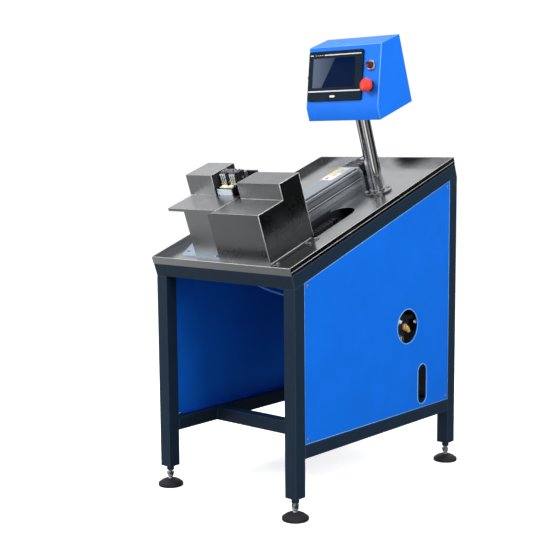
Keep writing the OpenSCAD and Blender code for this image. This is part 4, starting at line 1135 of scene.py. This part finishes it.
def regulator_details():
    """Air regulator: bowl guard, gauge, ribbed grip, brass inlet and the bracket's bolts."""
    x, y = 231, 132
    shape = Shape()
    shape.lathe([(18.6, 509.5), (20.4, 509.5), (21.4, 510.6), (21.4, 512.6), (20.4, 513.8), (18.6, 513.8)],
                (x, y, 0), sides=48, closed=True)
    for c, s in circle(10):
        rib = ((19.6, 452), (20.2, 430), (19.8, 413), (16.5, 403.5), (9, 397))
        shape.pipe([(x + r * c, y + r * s, z) for r, z in rib], 1.3, 8)
    for z, r in ((448, 20.6), (428, 20.8), (411, 20.0)):
        shape.pipe([(x + r * c, y + r * s, z) for c, s in circle(40)], 1.3, 8, closed=True)
    for z in (458, 464, 498, 504):
        shape.block((x - 24.8, y - 22, z), (x + 24.6, y + 22, z + 2))
    shape.piece("regulator_guard", ["black_plastic"], "base", MACHINE, 0.3)
    shape.lathe([(0, 0), (17, 0), (18, 1), (18, 7), (16.8, 8), (16.2, 8), (16.2, 6.6), (0, 6.6)],
                (231, 107.8, 481), FORWARD, 48)
    shape.paint = 1
    for k in range(11):
        a = math.radians(-45 + 27 * k)
        ca, sa = math.cos(a), math.sin(a)
        shape.pipe([(231 + 12.6 * ca, 101, 481 + 12.6 * sa), (231 + 15.2 * ca, 101, 481 + 15.2 * sa)], 0.4, 6)
    shape.pipe([(231, 100.8, 481), (231 - 7, 100.8, 481 + 7)], 0.6, 6)
    shape.lathe([(0, 0), (1.8, 0), (1.8, 1), (0, 1)], (231, 101.2, 481), FORWARD, 16)
    shape.piece("pressure_gauge", ["label_white", "black_plastic"], "base", MACHINE, 0.2)
    shape.fluted(18.0, 1.8, 16, 516, 541.5, (x, y, 0))
    shape.lathe([(0, 541), (14, 541), (14.6, 541.8), (14.2, 543.2), (12, 544), (0, 544)], (x, y, 0), sides=48)
    shape.lathe([(0, 501.2), (7.9, 501.2), (7.9, 514.4), (17.2, 514.4), (17.2, 516.4), (0, 516.4)], (x, y, 0))
    shape.piece("regulator_grip", ["black_plastic"], "regulator_knob", MACHINE, 0.2,
                ("frl_knob",))
    shape.lathe([
        (0, 0), (8.6, 0), (8.8, 5), (11.0, 5.2, 6), (11.0, 11, 6), (9.4, 11.6), (6.8, 11.8), (6.4, 14),
    ] + [(6.4 * math.cos(t), 15 + 6 * math.sin(t)) for t in (0.3, 0.6, 0.9, 1.2)] + [(0, 21.2)],
        (250, y, 475), RIGHT, 36)
    shape.lathe([
        (0, 0), (5.6, 0), (5.6, 7), (8.2, 7.2, 6), (8.2, 13, 6), (6.6, 13.4), (5.8, 14), (6.6, 14.6),
        (6.6, 15.6), (5.6, 16.2), (6.4, 16.8), (6.4, 17.8), (5.4, 18.4), (5.2, 20.4), (3.4, 20.4),
        (3.4, 10), (0, 10),
    ], (262.4, y, 475), (0, 0.72, -0.69), 36)
    shape.piece("inlet_barb", ["brass"], "base", MACHINE, 0.15, ("air_inlet",))
    for at, z in ((104, 494), (190, 486)):
        shape.hex_bolt((257.9, at, z), RIGHT, 6)
        shape.block((257.8, at - 12, z - 2.6), (259.2, at + 12, z + 2.6))
    shape.piece("bracket_bolts", ["bright_zinc"], "base", MACHINE, 0.2)


def valve_details():
    """Valve coils, end caps, fittings, screws and lamps on the manifold."""
    shape = Shape()
    for i in range(3):
        y = -326 + i * 22
        shape.prism([(234, 655.6), (261, 655.6), (258, 664), (237, 664)], y + 1.5, y + 16.5, "Y")
        shape.block((236, y + 3, 661), (250, y + 15, 672))
        for k in range(5):
            shape.block((232.2, y + 1, 635 + k * 4), (233.3, y + 17, 637 + k * 4))
    for y in (-330.6, -262.4):
        shape.block((230, min(y, y + 1), 600), (266, max(y, y + 1), 630))
    shape.piece("valve_coils", ["black_plastic"], "base", MACHINE, 0.5)
    for at in ((216, -312, 610), (216, -296, 624)):
        shape.lathe([
            (4.4, 0.5), (6.2, 0.5), (6.9, 1.4), (6.9, 3.2), (5.6, 3.8), (5.6, 5), (7.6, 5.6, 6), (7.6, 11, 6),
            (6.4, 12), (4.4, 12),
        ], at, RIGHT, 36, closed=True)
    for y in (-318, -296, -274):
        shape.cap_screw((247, y, 671.8), UP, 2.6)
        shape.push_fitting((240, y, 597.8), DOWN, 5.0, 14)
    shape.piece("valve_fittings", ["zinc_screw"], "base", MACHINE, 0.1)
    for i in range(3):
        shape.block((252.5, -322 + i * 22, 655.8), (258.5, -312 + i * 22, 657.2))
    shape.piece("valve_lamps", ["lens_red"], "base", MACHINE, 0.3)


def electrics_details():
    """Cable ducts, rails, terminal screws, bolts and drive fins on the rear mounting plate."""
    shape = Shape()
    pitch, plate = 8, 338
    for x0, x1, z in ((-170, -14, 566), (-170, -14, 430), (10, 206, 622)):
        shape.block((x0, 314, z), (x1, plate + 0.2, z + 24))
        shape.row(int((x1 - x0) / pitch), pitch, (x0 + 2, 308, z + 2), (x0 + 7, 314.5, z + 22))
    shape.piece("cable_ducts", ["duct_grey"], "base", MACHINE, 0.3)
    for z in (621, 629):
        shape.block((-172, 330, z), (-30, plate + 0.2, z + 2.5))
    for i in range(8):
        x = -159 + i * 16
        for z in (642, 608):
            shape.lathe([(0, 0), (3, 0), (3, 1), (2.2, 1.4), (0, 1.4)], (x + 5, 308.2, z), FORWARD, 18)
    for x, z in ((-182, 224), (212, 224), (-182, 688), (212, 688)):
        shape.hex_bolt((x, plate, z), FORWARD, 6)
    shape.piece("terminal_screws", ["zinc_screw"], "base", MACHINE, 0.15)
    shape.row(9, 10, (112, 280, 436), (116, 288.5, 604))
    shape.row(8, 7, (26, 256.8, 452), (29, 258.4, 578))
    shape.row(6, 22, (-150, 296.6, 462), (-134, 298.4, 528))
    shape.piece("drive_fins", ["black_metal"], "base", MACHINE, 0.4)


for corner_number in range(len(LEG_AT)):
    levelling_stem(corner_number)
for make in (
    rubber_feet, frame_welds, panel_rims, tray_welds, cover_seams, lip_edges, module_details,
    motor_details, head_details, guide_cheek, cover_shade_sheet, jaw_details, drag_chain, slot_trim_and_shade,
    panel_trim, button_details, box_details, box_seams, column_details, regulator_details,
    valve_details, electrics_details,
):
    make()

# ---------- hoses ----------

HOSE_D = 8 * MM
LOWER_ROUTE = [
    (216, -312, 610), (197, -312, 610), (178, -312, 611), (158, -312, 614), (139, -312, 617),
    (120, -312, 620), (101, -313, 624), (82, -313, 628), (63, -313, 633), (44, -314, 639),
    (25, -314, 645), (7, -314, 652), (-11, -314, 660), (-29, -314, 668), (-46, -314, 678),
    (-61, -314, 691), (-72, -314, 707), (-79, -314, 725), (-82, -314, 744), (-82, -309, 762),
    (-82, -298, 777), (-82, -282, 787), (-82, -265, 793),
]
UPPER_ROUTE = [
    (216, -296, 624), (197, -296, 624), (178, -297, 625), (159, -298, 627), (140, -300, 629),
    (121, -302, 632), (102, -304, 635), (83, -306, 639), (64, -308, 644), (46, -310, 650),
    (28, -311, 657), (10, -312, 665), (-7, -313, 674), (-24, -314, 683), (-40, -314, 694),
    (-53, -314, 708), (-62, -314, 725), (-67, -314, 743), (-68, -309, 762), (-68, -298, 777),
    (-68, -282, 787), (-68, -265, 793),
]


def air_hose(name, node, route):
    """Polyurethane air hose along its route, from the valve manifold to the head."""
    points = [on_machine(x, y, z) for x, y, z in route]
    data = bpy.data.curves.new(name, "CURVE")
    data.dimensions = "3D"
    data.bevel_depth = HOSE_D / 2 - 0.0001
    data.bevel_resolution = 6
    data.resolution_u = 4
    data.use_fill_caps = True
    spline = data.splines.new("BEZIER")
    spline.bezier_points.add(len(points) - 1)
    for knot, place in zip(spline.bezier_points, points):
        knot.co = place
        knot.handle_left_type = "AUTO"
        knot.handle_right_type = "AUTO"
    data.materials.append(MATERIALS["blue_hose"])
    obj = bpy.data.objects.new(name, data)
    bpy.context.scene.collection.objects.link(obj)
    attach(obj, "base")
    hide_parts(node)


air_hose("air_hose_a", "air_hose_lower", LOWER_ROUTE)
air_hose("air_hose_b", "air_hose_upper", UPPER_ROUTE)

# ---------- studio ----------


def floor():
    """White floor that takes only faint shadows."""
    mesh = bpy.data.meshes.new("floor")
    s = 30
    mesh.from_pydata([(-s, -s, 0), (s, -s, 0), (s, s, 0), (-s, s, 0)], [], [(0, 1, 2, 3)])
    obj = bpy.data.objects.new("floor", mesh)
    bpy.context.scene.collection.objects.link(obj)
    obj.visible_glossy = False
    obj.visible_diffuse = False
    n = Nodes("pale_floor")
    n.set(Base_Color=n.shade((0.8, 0.8, 0.8), n.spread(n.noise(2), 0.99, 1.0)), Roughness=0.7)
    n.shader.inputs["Specular IOR Level"].default_value = 0
    n.shader.inputs["Emission Color"].default_value = (1, 1, 1, 1)
    n.shader.inputs["Emission Strength"].default_value = 0.62
    mesh.materials.append(n.material)


def softbox(name, place, aim, size, power, glossy=True):
    light = bpy.data.lights.new(name, "AREA")
    light.shape = "RECTANGLE"
    light.size, light.size_y = size
    light.energy = power
    obj = bpy.data.objects.new(name, light)
    obj.location = place
    obj.rotation_mode = "QUATERNION"
    obj.rotation_quaternion = (Vector(aim) - Vector(place)).to_track_quat("-Z", "Y")
    obj.visible_glossy = glossy
    bpy.context.scene.collection.objects.link(obj)


# Brightness of the studio walls round the horizon, by compass share: 0.5 is the front (-Y),
# 0.75 the right (+X), 0 and 1 the rear and 0.25 the left.
WALLS = [
    (0.00, 0.04), (0.03, 0.05), (0.05, 0.80), (0.17, 0.90), (0.20, 0.10), (0.265, 0.08),
    (0.28, 0.58), (0.335, 0.48), (0.355, 0.20), (0.395, 0.24), (0.405, 0.07), (0.44, 0.07),
    (0.45, 0.42), (0.55, 0.48), (0.56, 0.26), (0.62, 0.30), (0.63, 0.98), (0.668, 0.95),
    (0.675, 0.36), (0.69, 0.30), (0.70, 0.03), (0.735, 0.04), (0.745, 0.24), (0.805, 0.20),
    (0.815, 0.03), (0.865, 0.02), (0.875, 0.0), (0.93, 0.0), (0.945, 0.30), (0.985, 0.30),
    (0.995, 0.05),
]


def walls():
    """White background; what the metals reflect is a room with tall soft boxes and dark gaps."""
    world = bpy.data.worlds.new("studio")
    world.use_nodes = True
    tree = world.node_tree

    def add(kind, inputs=None, **settings):
        return add_node(tree, kind, inputs, **settings)

    def spread(value, from_low, from_high, low, high, **settings):
        inputs = {"Value": value, "From Min": from_low, "From Max": from_high, "To Min": low, "To Max": high}
        return add("MapRange", inputs, **settings).outputs[0]

    def mix(a, b, factor):
        node = add("Mix", {0: factor}, data_type="RGBA")
        for socket, value in ((node.inputs[6], a), (node.inputs[7], b)):
            if isinstance(value, tuple):
                socket.default_value = value
            else:
                tree.links.new(value, socket)
        return node.outputs[2]

    way = add("SeparateXYZ", {"Vector": add("TexCoord").outputs["Generated"]})
    turn = add("Math", {0: way.outputs["X"], 1: way.outputs["Y"]}, operation="ARCTAN2")
    share = spread(turn.outputs[0], math.pi, -math.pi, -0.5, 0.5)
    wrapped = add("Math", {0: share, 1: 1.0}, operation="FLOORED_MODULO")
    ramp = add("ValToRGB", {"Fac": wrapped.outputs[0]})
    stops = ramp.color_ramp.elements
    while len(stops) > 1:
        stops.remove(stops[0])
    for i, (place, grey) in enumerate(WALLS):
        stop = stops[0] if i == 0 else stops.new(place)
        stop.position = place
        stop.color = (grey, grey, grey, 1)
    across, height = way.outputs["X"], way.outputs["Z"]
    smooth = {"interpolation_type": "SMOOTHSTEP"}
    ceiling = add("Math", {
        0: spread(turn.outputs[0], -2.6, 0.4, 0.55, 0.95),
        1: spread(across, 0.0, 0.45, 1, 0.25),
    }, operation="MULTIPLY").outputs[0]
    above = mix(ramp.outputs[0], ceiling, spread(height, 0.30, 0.62, 0, 1, **smooth))
    room = mix(above, (0.13, 0.135, 0.14, 1), spread(height, -0.95, -0.70, 1, 0, **smooth))
    seen = mix(room, (1.05, 1.05, 1.05, 1), add("LightPath").outputs["Is Camera Ray"])
    background = tree.nodes["Background"]
    tree.links.new(seen, background.inputs["Color"])
    background.inputs["Strength"].default_value = 1.0
    bpy.context.scene.world = world


def studio():
    floor()
    walls()
    softbox("key", (-1.6, -3.4, 3.4), (0, 0, 0.7), (2.2, 2.2), 160, glossy=False)
    softbox("side", (3.6, -0.6, 2.2), (0, 0, 0.6), (2.4, 2.4), 126, glossy=False)
    softbox("sheen", (-1.86, -2.1, 1.42), (0.1, 0.2, 1.4), (1.4, 1.0), 7.5)
    softbox("top", (-0.4, 1.0, 3.8), (0, 0, 0.8), (3.0, 3.0), 50, glossy=False)
    bpy.context.scene.view_settings.view_transform = "Standard"


studio()
